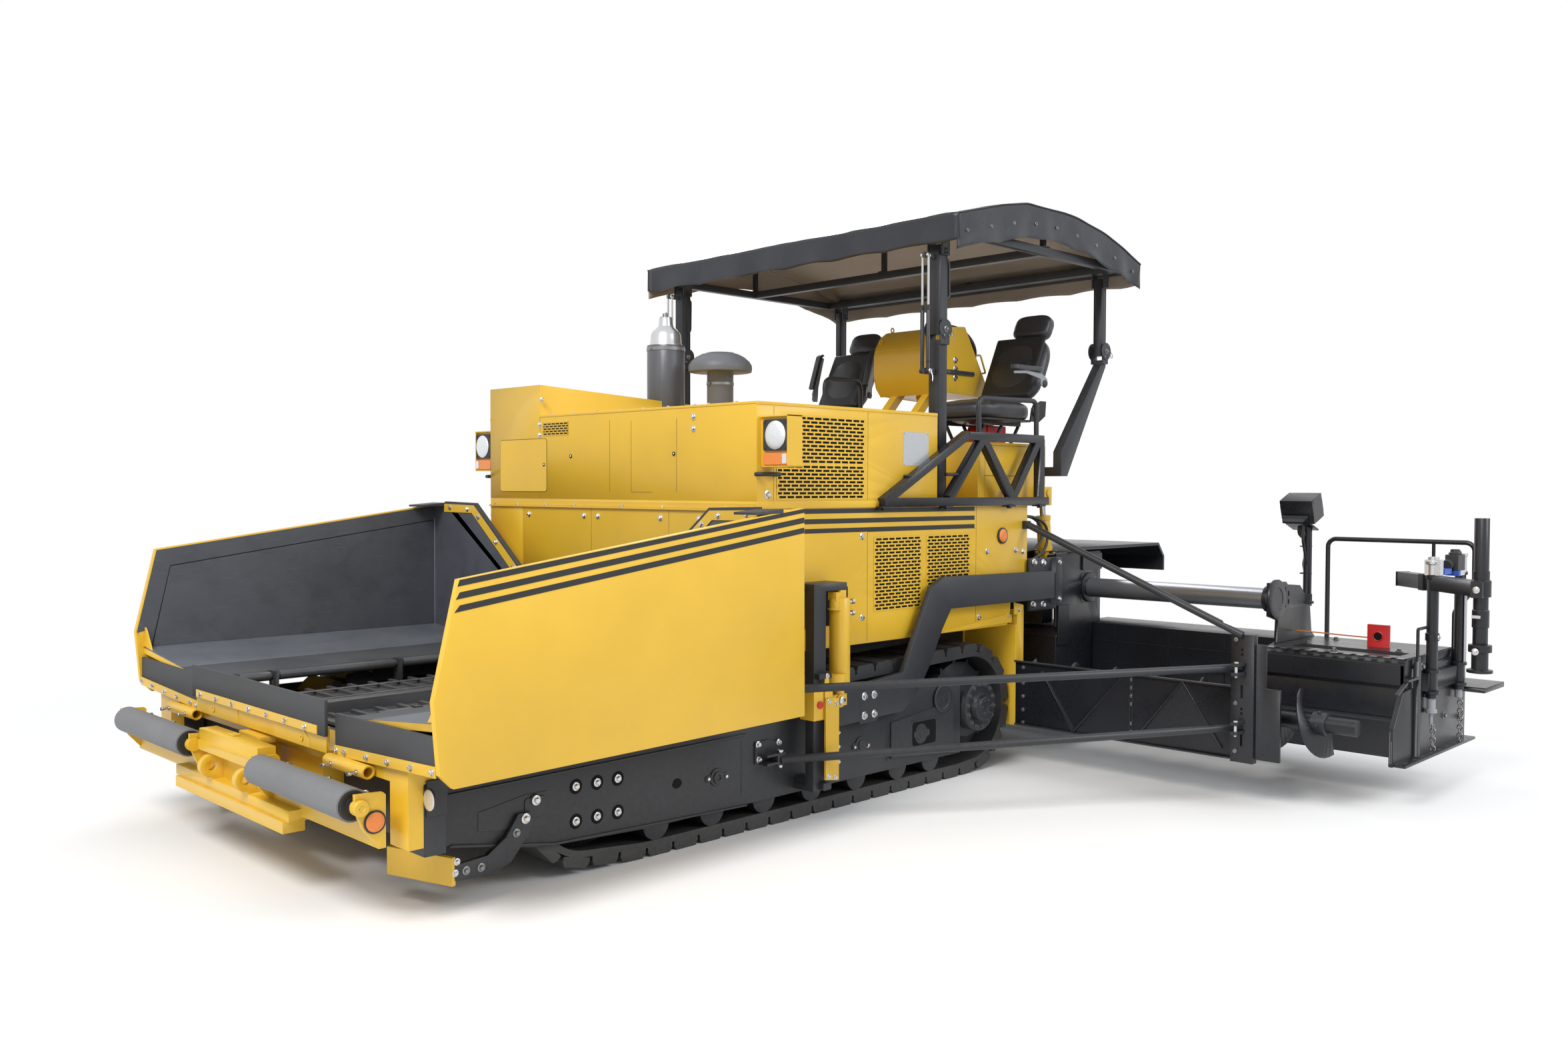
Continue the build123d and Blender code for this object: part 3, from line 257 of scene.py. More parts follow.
class Piece:
    """One mesh being made, in millimetres."""

    def __init__(self):
        self.bm = bmesh.new()

    def faces(self, points, loops):
        made = [self.bm.verts.new(p) for p in points]
        for loop in loops:
            try:
                self.bm.faces.new([made[i] for i in loop])
            except ValueError:
                pass
        return made

    def prism(self, axis, outline, a, b):
        """An outline across an axis, as a plate from a to b."""
        n = len(outline)
        points = [place(axis, u, v, a) for u, v in outline] + [place(axis, u, v, b) for u, v in outline]
        sides = [[i, (i + 1) % n, (i + 1) % n + n, i + n] for i in range(n)]
        self.faces(points, [list(range(n))[::-1], list(range(n, 2 * n))] + sides)
        return self

    def box(self, x0, x1, y0, y1, z0, z1):
        return self.prism("z", [(x0, y0), (x1, y0), (x1, y1), (x0, y1)], z0, z1)

    def rings(self, loops, closed=False):
        """Rings of equal count joined into a skin."""
        made = [[self.bm.verts.new(p) for p in loop] for loop in loops]
        count = len(made[0])
        pairs = list(zip(made, made[1:])) + ([(made[-1], made[0])] if closed else [])
        for first, second in pairs:
            for i in range(count):
                j = (i + 1) % count
                self.bm.faces.new([first[i], first[j], second[j], second[i]])
        if not closed:
            self.bm.faces.new(made[0][::-1])
            self.bm.faces.new(made[-1])
        return self

    def lathe(self, origin, along, profile, segments=24):
        """A turned form: profile is (distance along, radius) pairs."""
        way = Vector(along).normalized()
        side, other = square_to(way)
        return self.rings([circle(Vector(origin) + way * distance, side, other, radius, segments)
                           for distance, radius in profile])

    def rod(self, start, end, radius, segments=16):
        way = Vector(end) - Vector(start)
        return self.lathe(start, way, [(0, radius), (way.length, radius)], segments)

    def tube(self, points, radius, bend=0, segments=10):
        """A round tube along straight runs with rounded corners."""
        path = [Vector(p) for p in points]
        line = []
        for i, corner in enumerate(path):
            if bend and 0 < i < len(path) - 1:
                before = (path[i - 1] - corner)
                after = (path[i + 1] - corner)
                turn = before.angle(after, math.pi)
                back = min(bend / math.tan(turn / 2) if turn > 0.05 else 0, before.length * 0.49, after.length * 0.49)
                p0 = corner + before.normalized() * back
                p2 = corner + after.normalized() * back
                for k in range(7):
                    t = k / 6
                    line.append(p0 * (1 - t) ** 2 + corner * 2 * t * (1 - t) + p2 * t ** 2)
            else:
                line.append(corner)
        side = (line[1] - line[0]).normalized().orthogonal().normalized()
        loops = []
        for i, p in enumerate(line):
            way = (line[min(i + 1, len(line) - 1)] - line[max(i - 1, 0)]).normalized()
            side = (side - way * side.dot(way)).normalized()
            loops.append(circle(p, side, way.cross(side), radius, segments))
        return self.rings(loops)

    def ring(self, centre, normal, radius, thick, segments=28, around=10):
        """A round ring of round section."""
        way = Vector(normal).normalized()
        side, other = square_to(way)
        loops = []
        for k in range(segments):
            a = 2 * math.pi * k / segments
            out = side * math.cos(a) + other * math.sin(a)
            loops.append(circle(Vector(centre) + out * radius, out, way, thick, around))
        return self.rings(loops, closed=True)

    def bolt(self, at, normal, size=20, washer=True, turn=0.3):
        """A hexagon head on a washer; size is across the flats."""
        way = Vector(normal).normalized()
        side, other = square_to(way)
        start = Vector(at)
        if washer:
            rim = [(0, size * 0.92), (size * 0.22, size * 0.92), (size * 0.26, size * 0.84)]
            self.lathe(start - way * size * 0.1, way, rim, 14)
        radius = size / math.sqrt(3)
        head = ((0, radius), (size * 0.62, radius), (size * 0.72, radius * 0.82))
        return self.rings([circle(start + way * distance, side, other, r, 6, turn) for distance, r in head])

    def bolts(self, rows, normal, size=20, washer=True):
        for number, at in enumerate(rows):
            self.bolt(at, normal, size, washer, 0.3 + number * 0.7)
        return self

    def dome(self, at, normal, radius, height=None):
        """A low round head, such as a rivet or a lens."""
        high, sunk = height or radius * 0.5, 1.5
        steps = [(sunk + high * math.sin(i * math.pi / 10), radius * math.cos(i * math.pi / 10)) for i in range(5)]
        return self.lathe(Vector(at) - Vector(normal).normalized() * sunk, normal, [(0, radius)] + steps, 14)

    def plate_round(self, axis, corners, radius, a, b):
        """A flat plate with rounded corners: corners are (u0, v0, u1, v1)."""
        u0, v0, u1, v1 = corners
        outline = []
        for cu, cv, start in ((u1 - radius, v1 - radius, 0), (u0 + radius, v1 - radius, 90),
                              (u0 + radius, v0 + radius, 180), (u1 - radius, v0 + radius, 270)):
            for k in range(5):
                angle = math.radians(start + 90 * k / 4)
                outline.append((cu + radius * math.cos(angle), cv + radius * math.sin(angle)))
        return self.prism(axis, outline, a, b)

    def mirrored(self):
        """Adds the mirror image across the middle plane."""
        copy = bmesh.ops.duplicate(self.bm, geom=self.bm.verts[:] + self.bm.edges[:] + self.bm.faces[:])["geom"]
        for vert in [g for g in copy if isinstance(g, bmesh.types.BMVert)]:
            vert.co.y = -vert.co.y
        return self

    def flipped(self):
        """A mirror image as a piece of its own."""
        other = Piece()
        other.bm = self.bm.copy()
        for vert in other.bm.verts:
            vert.co.y = -vert.co.y
        return other

    def done(self, name, body, finish, bevel=1.5, angle=35, segments=1):
        """Makes the object: metres, outward normals, rounded edges, its finish and the body it rides on."""
        bmesh.ops.recalc_face_normals(self.bm, faces=self.bm.faces[:])
        bmesh.ops.scale(self.bm, vec=(MM, MM, MM), verts=self.bm.verts[:])
        mesh = bpy.data.meshes.new(name)
        self.bm.to_mesh(mesh)
        self.bm.free()
        item = show(name, mesh)
        mesh.materials.append(finish)
        mesh.shade_smooth()
        if bevel:
            round_edges(item, bevel, segments, angle)
        else:
            mesh.set_sharp_from_angle(angle=math.radians(angle))
        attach(item, body)
        return item

    def both(self, name, finish, bevel=1.5, body="machine", **options):
        """One object with its mirror image, on a body that spans both sides."""
        return self.mirrored().done(name, body, finish, bevel=bevel, **options)

    def pair(self, name, body, finish, **options):
        """A left-hand object and its mirror image, each on its own side's body."""
        right = self.flipped()
        self.done(f"{name}_left", f"{body}_left", finish, **options)
        right.done(f"{name}_right", f"{body}_right", finish, **options)


# ---------------------------------------------------------------- camera, floor and light

CAMERA_AT = Vector((5.2658, 5.7732, 1.7195))
CAMERA_TURN = (224.9595, -1.574, 0.1416)  # yaw, pitch and roll in degrees

camera_data = bpy.data.cameras.new("camera")
camera_data.lens = 29.015
camera_data.sensor_width = 36
camera = show("camera", camera_data)
bpy.context.scene.camera = camera
bpy.context.scene.view_settings.view_transform = "Standard"
yaw, pitch, roll = [math.radians(angle) for angle in CAMERA_TURN]
forward = Vector((math.cos(yaw) * math.cos(pitch), math.sin(yaw) * math.cos(pitch), math.sin(pitch)))
level_right = forward.cross(Vector(UP)).normalized()
level_up = level_right.cross(forward)
right = level_right * math.cos(roll) + level_up * math.sin(roll)
up = level_up * math.cos(roll) - level_right * math.sin(roll)
camera.matrix_world = Matrix.Translation(CAMERA_AT) @ Matrix((right, up, -forward)).transposed().to_4x4()


def seen_ray(tree):
    """1 for the camera's rays and for what metal and glass show."""
    rays = add_node(tree, "ShaderNodeLightPath", {})
    return maths(tree, "MAXIMUM", rays.outputs["Is Camera Ray"],
                 maths(tree, "MAXIMUM", rays.outputs["Is Glossy Ray"], rays.outputs["Is Transmission Ray"]))


def pale(name, shade, fade):
    """A floor that keeps the object's shadow and turns white beyond the fade's two distances in metres."""
    material = bpy.data.materials.new(name)
    material.use_nodes = True
    tree = material.node_tree
    lit = tree.nodes["Principled BSDF"]
    feed(tree, lit.inputs, {"Base Color": shade, "Roughness": 0.9, "Specular IOR Level": 0.0})
    glow = add_node(tree, "ShaderNodeEmission", {"Color": (1, 1, 1), "Strength": 1.0})
    coord = add_node(tree, "ShaderNodeTexCoord", {}).outputs["Object"]
    distance = add_node(tree, "ShaderNodeVectorMath", {0: coord}, operation="LENGTH").outputs["Value"]
    white_share = maths(tree, "MULTIPLY", ramp(tree, distance, *fade), seen_ray(tree))
    blend = add_node(tree, "ShaderNodeMixShader", {0: white_share, 1: lit.outputs[0], 2: glow.outputs[0]})
    feed(tree, tree.nodes["Material Output"].inputs, {"Surface": blend.outputs[0]})
    return material


floor_mesh = bpy.data.meshes.new("floor")
floor_form = bmesh.new()
bmesh.ops.create_circle(floor_form, cap_ends=True, radius=60, segments=64)
floor_form.to_mesh(floor_mesh)
floor_form.free()
floor_mesh.materials.append(pale("floor_pale", (0.92, 0.92, 0.92), (3.2, 6.5)))
show("floor", floor_mesh)

world = bpy.data.worlds.new("world")
bpy.context.scene.world = world
world.use_nodes = True
sky = world.node_tree
background = sky.nodes["Background"]
feed(sky, background.inputs, {"Color": (0.93, 0.96, 1.0), "Strength": 0.62})
white = add_node(sky, "ShaderNodeBackground", {"Color": (1, 1, 1), "Strength": 1.0})
either = add_node(sky, "ShaderNodeMixShader", {0: seen_ray(sky), 1: background.outputs[0], 2: white.outputs[0]})
feed(sky, sky.nodes["World Output"].inputs, {"Surface": either.outputs[0]})


def area_light(name, at, target, size, power, tint=(1, 1, 1)):
    data = bpy.data.lights.new(name, "AREA")
    data.shape = "DISK"
    data.size = size
    data.energy = power
    data.color = tint
    lamp = show(name, data)
    lamp.location = at
    lamp.rotation_euler = (Vector(target) - Vector(at)).to_track_quat("-Z", "Y").to_euler()


area_light("key", (9.0, 3.5, 9.5), (0, 0, 1.2), 5.0, 1050, (1.0, 0.98, 0.95))
area_light("side", (-3.5, 10.0, 6.5), (-0.8, 0, 1.0), 5.0, 430, (0.97, 0.98, 1.0))
area_light("back", (-7.0, -7.0, 8.0), (0, 0, 1.5), 5.0, 480, (0.97, 0.98, 1.0))


# ---------------------------------------------------------------- places on the machine, mm

HOOD_X = 900  # front face of the hood
BODY_Y = 1220  # outer face of the side panels
ROLLER_X, ROLLER_Z = 3050, 510  # axis of the push rollers
STACK_AT, INTAKE_AT = (-150, -750), (-230, -300)  # x, y of the muffler and of the air intake
DRIVE_AT = (-929, 412)  # x, z of the sprocket's axis
LEVEL_AT = (459, 1355)  # x, y of the levelling cylinder
SIDE_LAMP = (-1195, 1428)  # x, z of the side reflector
TUBE_X, TUBE_Z = -2150, 1060  # axis of the extension's guide tube
LUG_AT = (3021, 858)  # y, z of the hole in the red lug
GATE_Y, GATE_RODS = 3377, (-2230, -2690)  # the end gate's two screws
MAST_AT = (-1950, 3700)  # x, y of the sensor mast


# ---------------------------------------------------------------- hopper wings

WALL_IN = 1567.5
REAR_IN = 1098.0


def band(line, near, far):
    """A strip along a line of (u, v) points, between two offsets to the right of its way."""
    def shifted(distance):
        out = []
        for i, (u, v) in enumerate(line):
            (u0, v0), (u1, v1) = line[max(i - 1, 0)], line[min(i + 1, len(line) - 1)]
            run = math.hypot(u1 - u0, v1 - v0)
            out.append((u + (v1 - v0) / run * distance, v - (u1 - u0) / run * distance))
        return out
    return shifted(near) + shifted(far)[::-1]


def wing_top(x, drop=0.0):
    """Height of the wing's sloping top edge at x, less a drop measured square to it."""
    x0, z0, x1, z1 = 990.0, 1622.0, 2798.0, 1375.0
    slope = (z1 - z0) / (x1 - x0)
    return z0 + (x - x0) * slope - drop * math.sqrt(1 + slope * slope)


stripes = Piece()
for high, low in ((2, 26), (48, 74), (96, 122)):
    stripes.prism("y", [(951, min(1620, wing_top(951, high))), (2795, wing_top(2795, high)),
                        (2801 + low * 0.14, wing_top(2801, low)), (951, wing_top(951, low))], 1599.4, 1600.8)
stripes.pair("wing_stripes", "wing", STRIPE, bevel=0)

# Inside: dark side wall with an inset panel, dark rear wall, pale floor beside the wall and a worn floor beyond
(Piece().prism("y", [(1096, 838), (2852, 838), (2898, 926), (2793, 1368), (1096, 1600)], WALL_IN, 1571)
 .prism("x", [(792, 762), (792, 1236), (1366, 1608), (1568, 1608), (1568, 838)], 1094, REAR_IN)
 .pair("wing_lining", "wing", HOPPER, bevel=0))
# Painted shade: a near-black band in the gap round the inset panel
(Piece().prism("y", band([(2822, 842), (2722, 1280), (1100, 1508)], -2.5, 2.5), WALL_IN - 0.6, WALL_IN + 1)
 .pair("wing_panel_gap_shade", "wing", PAINTED_SHADE, bevel=0))
(Piece().prism("y", [(1102, 842), (2816, 842), (2716, 1275), (1102, 1502)], WALL_IN - 1.6, WALL_IN + 1)
 .pair("wing_panel", "wing", HOPPER, bevel=1))
(Piece().tube([(REAR_IN + 2, WALL_IN - 2, 838), (REAR_IN + 2, WALL_IN - 2, 1520)], 4.5)
 .tube([(REAR_IN + 2, WALL_IN - 1, 838), (2845, WALL_IN - 1, 838)], 3.0).pair("wing_welds", "wing", BED, bevel=0))
(Piece().prism("x", [(1040, 781.5), (1568, 834), (1568, 841), (1040, 787)], REAR_IN, 2859)
 .pair("wing_floor_slab", "wing", BED, bevel=2))
(Piece().prism("x", [(776, 756), (1042, 782), (1042, 785), (776, 759)], REAR_IN, 2859)
 .pair("wing_floor_worn", "wing", FLOOR, bevel=0))

# Rear wall carried further in than in the CAD, with the bolted strip and the rubber seal along its edge
EDGE = [(1440, 1612), (1092, 1606), (600, 1236)]
back = Piece()
back.prism("x", [(1400, 1600), *EDGE[1:], (600, 1120), (792, 960), (792, 1200), (1366, 1560)], 1074, REAR_IN)
back.pair("wing_back", "wing", HOPPER, bevel=1)
Piece().prism("x", band(EDGE[::-1], 0, 52), REAR_IN, REAR_IN + 6).pair("wing_edge_strip", "wing", YELLOW)
(Piece().prism("x", band(EDGE[::-1], -16, 2), 1072, REAR_IN + 3)
 .prism("y", [(1090, 1600), (1260, 1594), (1262, 1606), (1090, 1620)], 1440, 1602)
 .pair("wing_seal", "wing", APRON, bevel=2))
EDGE_BOLTS = ((1161, 1582), (1367, 1590), (1036, 1536), (838, 1388), (650, 1246))
(Piece().bolts([(REAR_IN + 6, y, z) for y, z in EDGE_BOLTS], FORWARD, 17)
 .pair("wing_edge_bolts", "wing", CHROME, bevel=0))
(Piece().prism("x", [(1568, 842), (1568, 948), (1545, 930), (1470, 830)], 2849, 2859)
 .prism("y", [(2849, 842), (2852, 930), (2893, 920), (2870, 842)], 1562, 1568)
 .pair("wing_gusset", "wing", YELLOW))

# Bolted strip under the side apron
(Piece().prism("x", [(742, 600), (1566, 636), (1566, 680), (742, 643)], 2875, 2882)
 .pair("wing_front_strip", "wing", YELLOW))
(Piece().bolts([(2882, y, 622 + (y - 742) * 0.0437) for y in (765, 842, 1030, 1204, 1386, 1545)], FORWARD, 16)
 .pair("wing_strip_bolts", "wing", CHROME, bevel=0))

# ---------------------------------------------------------------- machine front

front = Piece()
front.box(2915, 2921, -666, 666, 681, 719)
front.prism("x", [(200, 606), (560, 606), (560, 640), (500, 680), (200, 680)], 2897, 2903)
front.prism("x", [(-560, 606), (-200, 606), (-200, 680), (-500, 680), (-560, 640)], 2897, 2903)
for y in (487, -487):
    front.lathe((2903, y, 640), FORWARD, [(0, 15), (5, 15), (5, 8), (1, 8)], 18)
front.done("front_strip", "machine", YELLOW)
(Piece().bolts([(2921, y, 700) for y in (-610, -413, -222, -29, 166, 360, 560)], FORWARD, 16)
 .done("front_strip_bolts", "machine", CHROME, bevel=0))
tee_bolts = Piece()
for side in (-1, 1):
    for y in (804, 1027):
        tee_bolts.lathe((2920, side * y, 580), FORWARD, [(0, 11), (7, 11), (7, 6.5), (34, 6.5), (34, 9), (44, 9)], 14)
        tee_bolts.rod((2956, side * y - 17, 580), (2956, side * y + 17, 580), 5.5, 10)
tee_bolts.done("socket_bolts", "machine", CHROME, bevel=0)

# Dark channel beside the end posts, with the clear reflector
(Piece().box(2697, 2795, 1177, 1328, 272, 560).box(2697, 2787, 1328, 1340, 430, 575)
 .both("front_channels", DARK, bevel=3))
reflector = Piece()
for side in (-1, 1):
    reflector.lathe((2787, side * 1366, 505), FORWARD, [(0, 44), (6, 44), (9, 41), (10, 39), (12, 24), (13, 2)], 32)
reflector.done("front_reflectors", "machine", LENS, bevel=0)
rims = Piece()
for side in (-1, 1):
    rims.ring((2792, side * 1366, 505), FORWARD, 44, 4.5, 32, 8)
    rims.box(2782, 2787, side * 1335, side * 1380, 490, 520)
rims.done("front_reflector_rims", "machine", PLASTIC, bevel=0)

# Scraper plates in yellow over their blades
(Piece().prism("z", [(2741, 921), (2636, 1264), (2616, 1258), (2722, 914)], 108, 225)
 .both("scraper_plates", YELLOW, bevel=2))
blade_bolts = Piece()
for side in (-1, 1):
    blade_bolts.bolts([(2500, side * 1260, 158), (2570, side * 1260, 160), (2330, side * 1260, 268)], (0, side, 0))
blade_bolts.done("scraper_bolts", "machine", STEEL, bevel=0)

# Push beam: cap boss, bolts, roller pins and end reflectors
beam = Piece()
beam.box(2968, 3002, -62, 2, 588, 597)
for side in (-1, 1):
    for y in (345, 1300):
        beam.lathe((ROLLER_X, side * y, ROLLER_Z), (0, side, 0), [(-12, 32), (26, 32), (30, 29), (30, 12), (28, 10),
                                                                  (28, 0.1)])
beam.done("beam_bosses", "push_beam", YELLOW)
beam_bolts = Piece()
for side in (-1, 1):
    beam_bolts.bolts([(2960, side * 480, 530), (2960, side * 860, 530), (2960, side * 1180, 530)], UP, 16)
beam_bolts.done("beam_bolts", "push_beam", CHROME, bevel=0)
amber = Piece()
for side in (-1, 1):
    amber.lathe((2992, side * 1310, 448), (0, side, 0), [(0, 40), (7, 40), (9, 36), (11, 22), (12, 1)], 30)
amber.done("beam_reflectors", "push_beam", AMBER, bevel=0)
amber_rims = Piece()
for side in (-1, 1):
    amber_rims.ring((2992, side * 1315, 448), LEFT, 41, 4.5, 30, 8)
amber_rims.done("beam_reflector_rims", "push_beam", PLASTIC, bevel=0)
hubs = Piece()
for y in (395, 1250):
    way = -1 if y < 800 else 1
    hubs.lathe((ROLLER_X, y, ROLLER_Z), (0, way, 0), [(-1, 58), (3, 58), (4, 47), (2, 46), (2, 30), (8, 29), (9, 19)],
               28)
hubs.pair("roller_ends", "push_roller", PLASTIC, bevel=0)


# ---------------------------------------------------------------- body sides and hood

side_stripes = Piece()
for z0, z1 in ((1584, 1609), (1530, 1556), (1481, 1505)):
    side_stripes.box(-913, 899, 1219.4, 1220.9, z0, z1)
side_stripes.both("side_stripes", STRIPE, bevel=0)


def grille(piece, back, x0, x1, z0, z1, y, rows, columns, thick=2.6):
    """Brick slots: full-width bars with short ties between them, over a near-black sheet of painted shade."""
    pitch_z = (z1 - z0) / rows
    pitch_x = (x1 - x0) / columns
    for row in range(rows + 1):
        z = z0 + row * pitch_z
        piece.box(x0 - 6, x1 + 6, y + 1, y + thick, z - pitch_z * 0.2, z + pitch_z * 0.2)
    for row in range(rows):
        z = z0 + row * pitch_z
        shift = 0.5 if row % 2 else 0.0
        for column in range(columns + 1):
            x = x0 + (column + shift) * pitch_x
            if x <= x1 + 1:
                piece.box(max(x0 - 6, x - 5), min(x1 + 6, x + 5), y + 1, y + thick, z + pitch_z * 0.2,
                          z + pitch_z * 0.8)
    piece.box(x0 - 14, x0 - 5, y + 1, y + thick, z0 - pitch_z * 0.2, z1 + pitch_z * 0.2)
    piece.box(x1 + 5, x1 + 14, y + 1, y + thick, z0 - pitch_z * 0.2, z1 + pitch_z * 0.2)
    # The near-black sheet behind the slots is painted shade
    back.box(x0 - 10, x1 + 10, y + 0.3, y + 1.1, z0 - 4, z1 + 4)


bars, dark = Piece(), Piece()
for x0, x1 in ((-396, -5), (-856, -465)):
    grille(bars, dark, x0, x1, 1042, 1446, BODY_Y, 21, 7)
grille(bars, dark, 98, 576, 1846, 2090, BODY_Y, 12, 8)
grille(bars, dark, 98, 748, 1662, 1838, BODY_Y, 9, 11)
bars.both("side_grilles", YELLOW, bevel=0)
dark.both("grille_shade_sheets", PAINTED_SHADE, bevel=0)

# Slot behind the levelling cylinder, with a near-black sheet of painted shade inside it
Piece().box(224, 552, 1185, 1186, 980, 1192).both("slot_shade_sheet", PAINTED_SHADE, bevel=0)
Piece().box(222, 229, 1219, 1224, 983, 1190).box(547, 554, 1219, 1224, 983, 1190).both("slot_edges", DARK, bevel=1)

panel_bolts = Piece()
SIDE_BOLTS = [(107, 1456), (104, 1013), (-1042, 1336), (-1342, 1335), (-1422, 1323), (-1269, 926), (840, 1456),
              (840, 960), (-960, 940)]
for side in (-1, 1):
    panel_bolts.bolts([(x, side * BODY_Y, z) for x, z in SIDE_BOLTS], (0, side, 0))
    panel_bolts.bolts([(826, side * BODY_Y, 1685)], (0, side, 0), 24)
FRONT_BOLTS = [(-353, 1901, 9), (583, 1900, 9), (-626, 1855, 9), (743, 2091, 19), (743, 2029, 19), (-670, 2097, 17),
               (-670, 2034, 17), (-787, 1555, 19), (-223, 1555, 19), (-90, 1555, 19), (471, 1555, 19),
               (787, 1555, 19)]
for y, z, size in FRONT_BOLTS:
    panel_bolts.bolt((HOOD_X, y, z), FORWARD, size)
panel_bolts.bolt((900, -650, 2247), LEFT, 16)
panel_bolts.bolts([(870, y, 2150) for y in (-583, -365, -147, 70, 286, 500, 718, 826, 1040)], UP, 15)
panel_bolts.bolts([(905, y, 1612) for y in (-594, -307, 140, 492, 1001, 1181, -900, -1150)], UP, 15)
panel_bolts.done("panel_bolts", "machine", CHROME, bevel=0)

# Narrow flange where the hood sits on the deck, and the hood's own rolled top edge
(Piece().box(893, 916, -1216, 1216, 1600, 1611).box(899, 903, -1216, 1216, 1611, 1640)
 .done("deck_flange", "machine", YELLOW))
roll = Piece()
roll.box(892, 903, -668, 1222, 2139, 2153)
for side in (-1, 1):
    roll.box(-548, 902, side * 1218, side * 1224, 2136, 2153)
roll.done("hood_edges", "machine", YELLOW, bevel=3, segments=2)


def seam_lines(piece, axis, at, lines, width=3.0):
    """Thin dark joints on a flat face: each line is a list of (u, v) points."""
    for line in lines:
        piece.prism(axis, band(line, -width / 2, width / 2), at - 0.6, at + 0.5)


joints = Piece()
seam_lines(joints, "x", HOOD_X, [[(20, 1694), (20, 2101)], [(215, 1694), (215, 2090)], [(603, 1694), (603, 2090)],
                                 [(215, 1694), (400, 1694)], [(-670, 1655), (-670, 2150)],
                                 [(-853, 930), (-853, 1598)], [(-154, 930), (-154, 1598)], [(539, 930), (539, 1598)],
                                 [(853, 930), (853, 1598)]], 2.6)
seam_lines(joints, "x", HOOD_X, [[(-1220, 1612), (1220, 1612)]], 4)
for side in (-1, 1):
    seam_lines(joints, "y", side * BODY_Y, [[(899, 1612), (-549, 1612)], [(-930, 880), (-930, 1610)],
                                            [(60, 880), (60, 1480)], [(60, 1480), (-930, 1480)],
                                            [(780, 1655), (780, 2130)], [(60, 1655), (60, 2140)]], 2.6)
joints.done("panel_joints", "machine", SEAM, bevel=0)

# Hatch on the hood's front, with its rounded seam and latch
Piece().plate_round("x", (-1102, 1694, -601, 2010), 18, 899, 903).done("front_hatch", "machine", YELLOW)
Piece().plate_round("x", (-1106, 1690, -597, 2014), 21, 899, 900.8).done("front_hatch_seam", "machine", SEAM, bevel=0)
latch = Piece()
for y, z in ((-626, 1855), (-353, 1901), (583, 1900)):
    latch.lathe((HOOD_X, y, z), FORWARD, [(0, 11), (5, 11), (6, 9), (3, 8), (3, 0.5)], 18)
latch.done("latches", "machine", DARK, bevel=0)

# Vent with five rows of short slots over a near-black sheet of painted shade
vent, vent_back = Piece(), Piece()
rows, columns, y0, y1, z0, z1 = 5, 6, -634, -382, 2030, 2104
pitch = (z1 - z0) / rows
for row in range(rows + 1):
    z = z0 + row * (z1 - z0) / rows
    vent.box(900.8, 902.6, y0 - 4, y1 + 4, z - 3.4, z + 3.4)
for row in range(rows):
    z = z0 + row * (z1 - z0) / rows
    for column in range(columns + 1):
        y = y0 + (column + (0.5 if row % 2 else 0)) * (y1 - y0) / columns
        if y <= y1 + 1:
            vent.box(900.8, 902.6, max(y0 - 4, y - 4), min(y1 + 4, y + 4), z, z + pitch)
# Painted shade behind the slots
vent_back.box(900.2, 900.9, y0, y1, z0, z1)
vent.done("front_vent", "machine", YELLOW, bevel=0)
vent_back.done("front_vent_shade_sheet", "machine", PAINTED_SHADE, bevel=0)

# Head lamps: bezel, lens, indicator, marker, cowl, and the handle under each
for name, side in SIDES:
    bezel = Piece().plate_round("x", (1248, 1902, 1419, 2058), 14, 869, 884)
    for u, v in ((1262, 1916), (1405, 1916), (1262, 2044), (1405, 2044)):
        bezel.lathe((884, u, v), FORWARD, [(0, 7), (2.5, 7), (2.5, 4), (1, 3.5)], 12)
    lens_profile = [(0, 71), (5, 71), (9, 64), (12, 50), (14, 30), (15, 2)]
    cowl = Piece().box(783, 871, 1225, 1250, 1822, 1898).box(783, 886, 1243, 1424, 1822, 1829)
    cowl.box(783, 886, 1417, 1424, 1824, 2078).box(783, 886, 1225, 1424, 2070, 2078)
    handle = [(771, 1222, 1787), (771, 1262, 1787), (909, 1262, 1787), (909, 1222, 1787)]
    for part, piece, finish, bevel in (
            ("bezel", bezel, PLASTIC, 1.5),
            ("lens", Piece().lathe((883, 1337, 1979), FORWARD, lens_profile, 36), LENS, 0),
            ("indicator", Piece().plate_round("x", (1248, 1832, 1419, 1893), 8, 869, 886), AMBER, 1.5),
            ("marker", Piece().plate_round("x", (1385, 1838, 1415, 1887), 6, 885, 888), LENS, 1),
            ("cowl", cowl, YELLOW, 1.5),
            ("handle", Piece().tube(handle, 11, 18), PLASTIC, 0)):
        if side < 0:
            piece = piece.flipped()
        piece.done(f"lamp_{part}_{name}", "machine", finish, bevel=bevel)

# Bare plate on the hood's side, by the tank
Piece().plate_round("y", (-467, 1846, -240, 2036), 6, 1219, 1222).done("side_plate", "machine", PALE, bevel=0.5)
(Piece().bolts([(x, 1222, z) for z in (1854, 2028) for x in (-459, -248)], LEFT, 7, washer=False)
 .done("side_plate_rivets", "machine", CHROME, bevel=0))
(Piece().tube([(-330, 1220, 1787), (-330, 1258, 1787), (-250, 1258, 1787), (-250, 1220, 1787)], 8, 14)
 .both("hood_handles", PLASTIC, bevel=0))

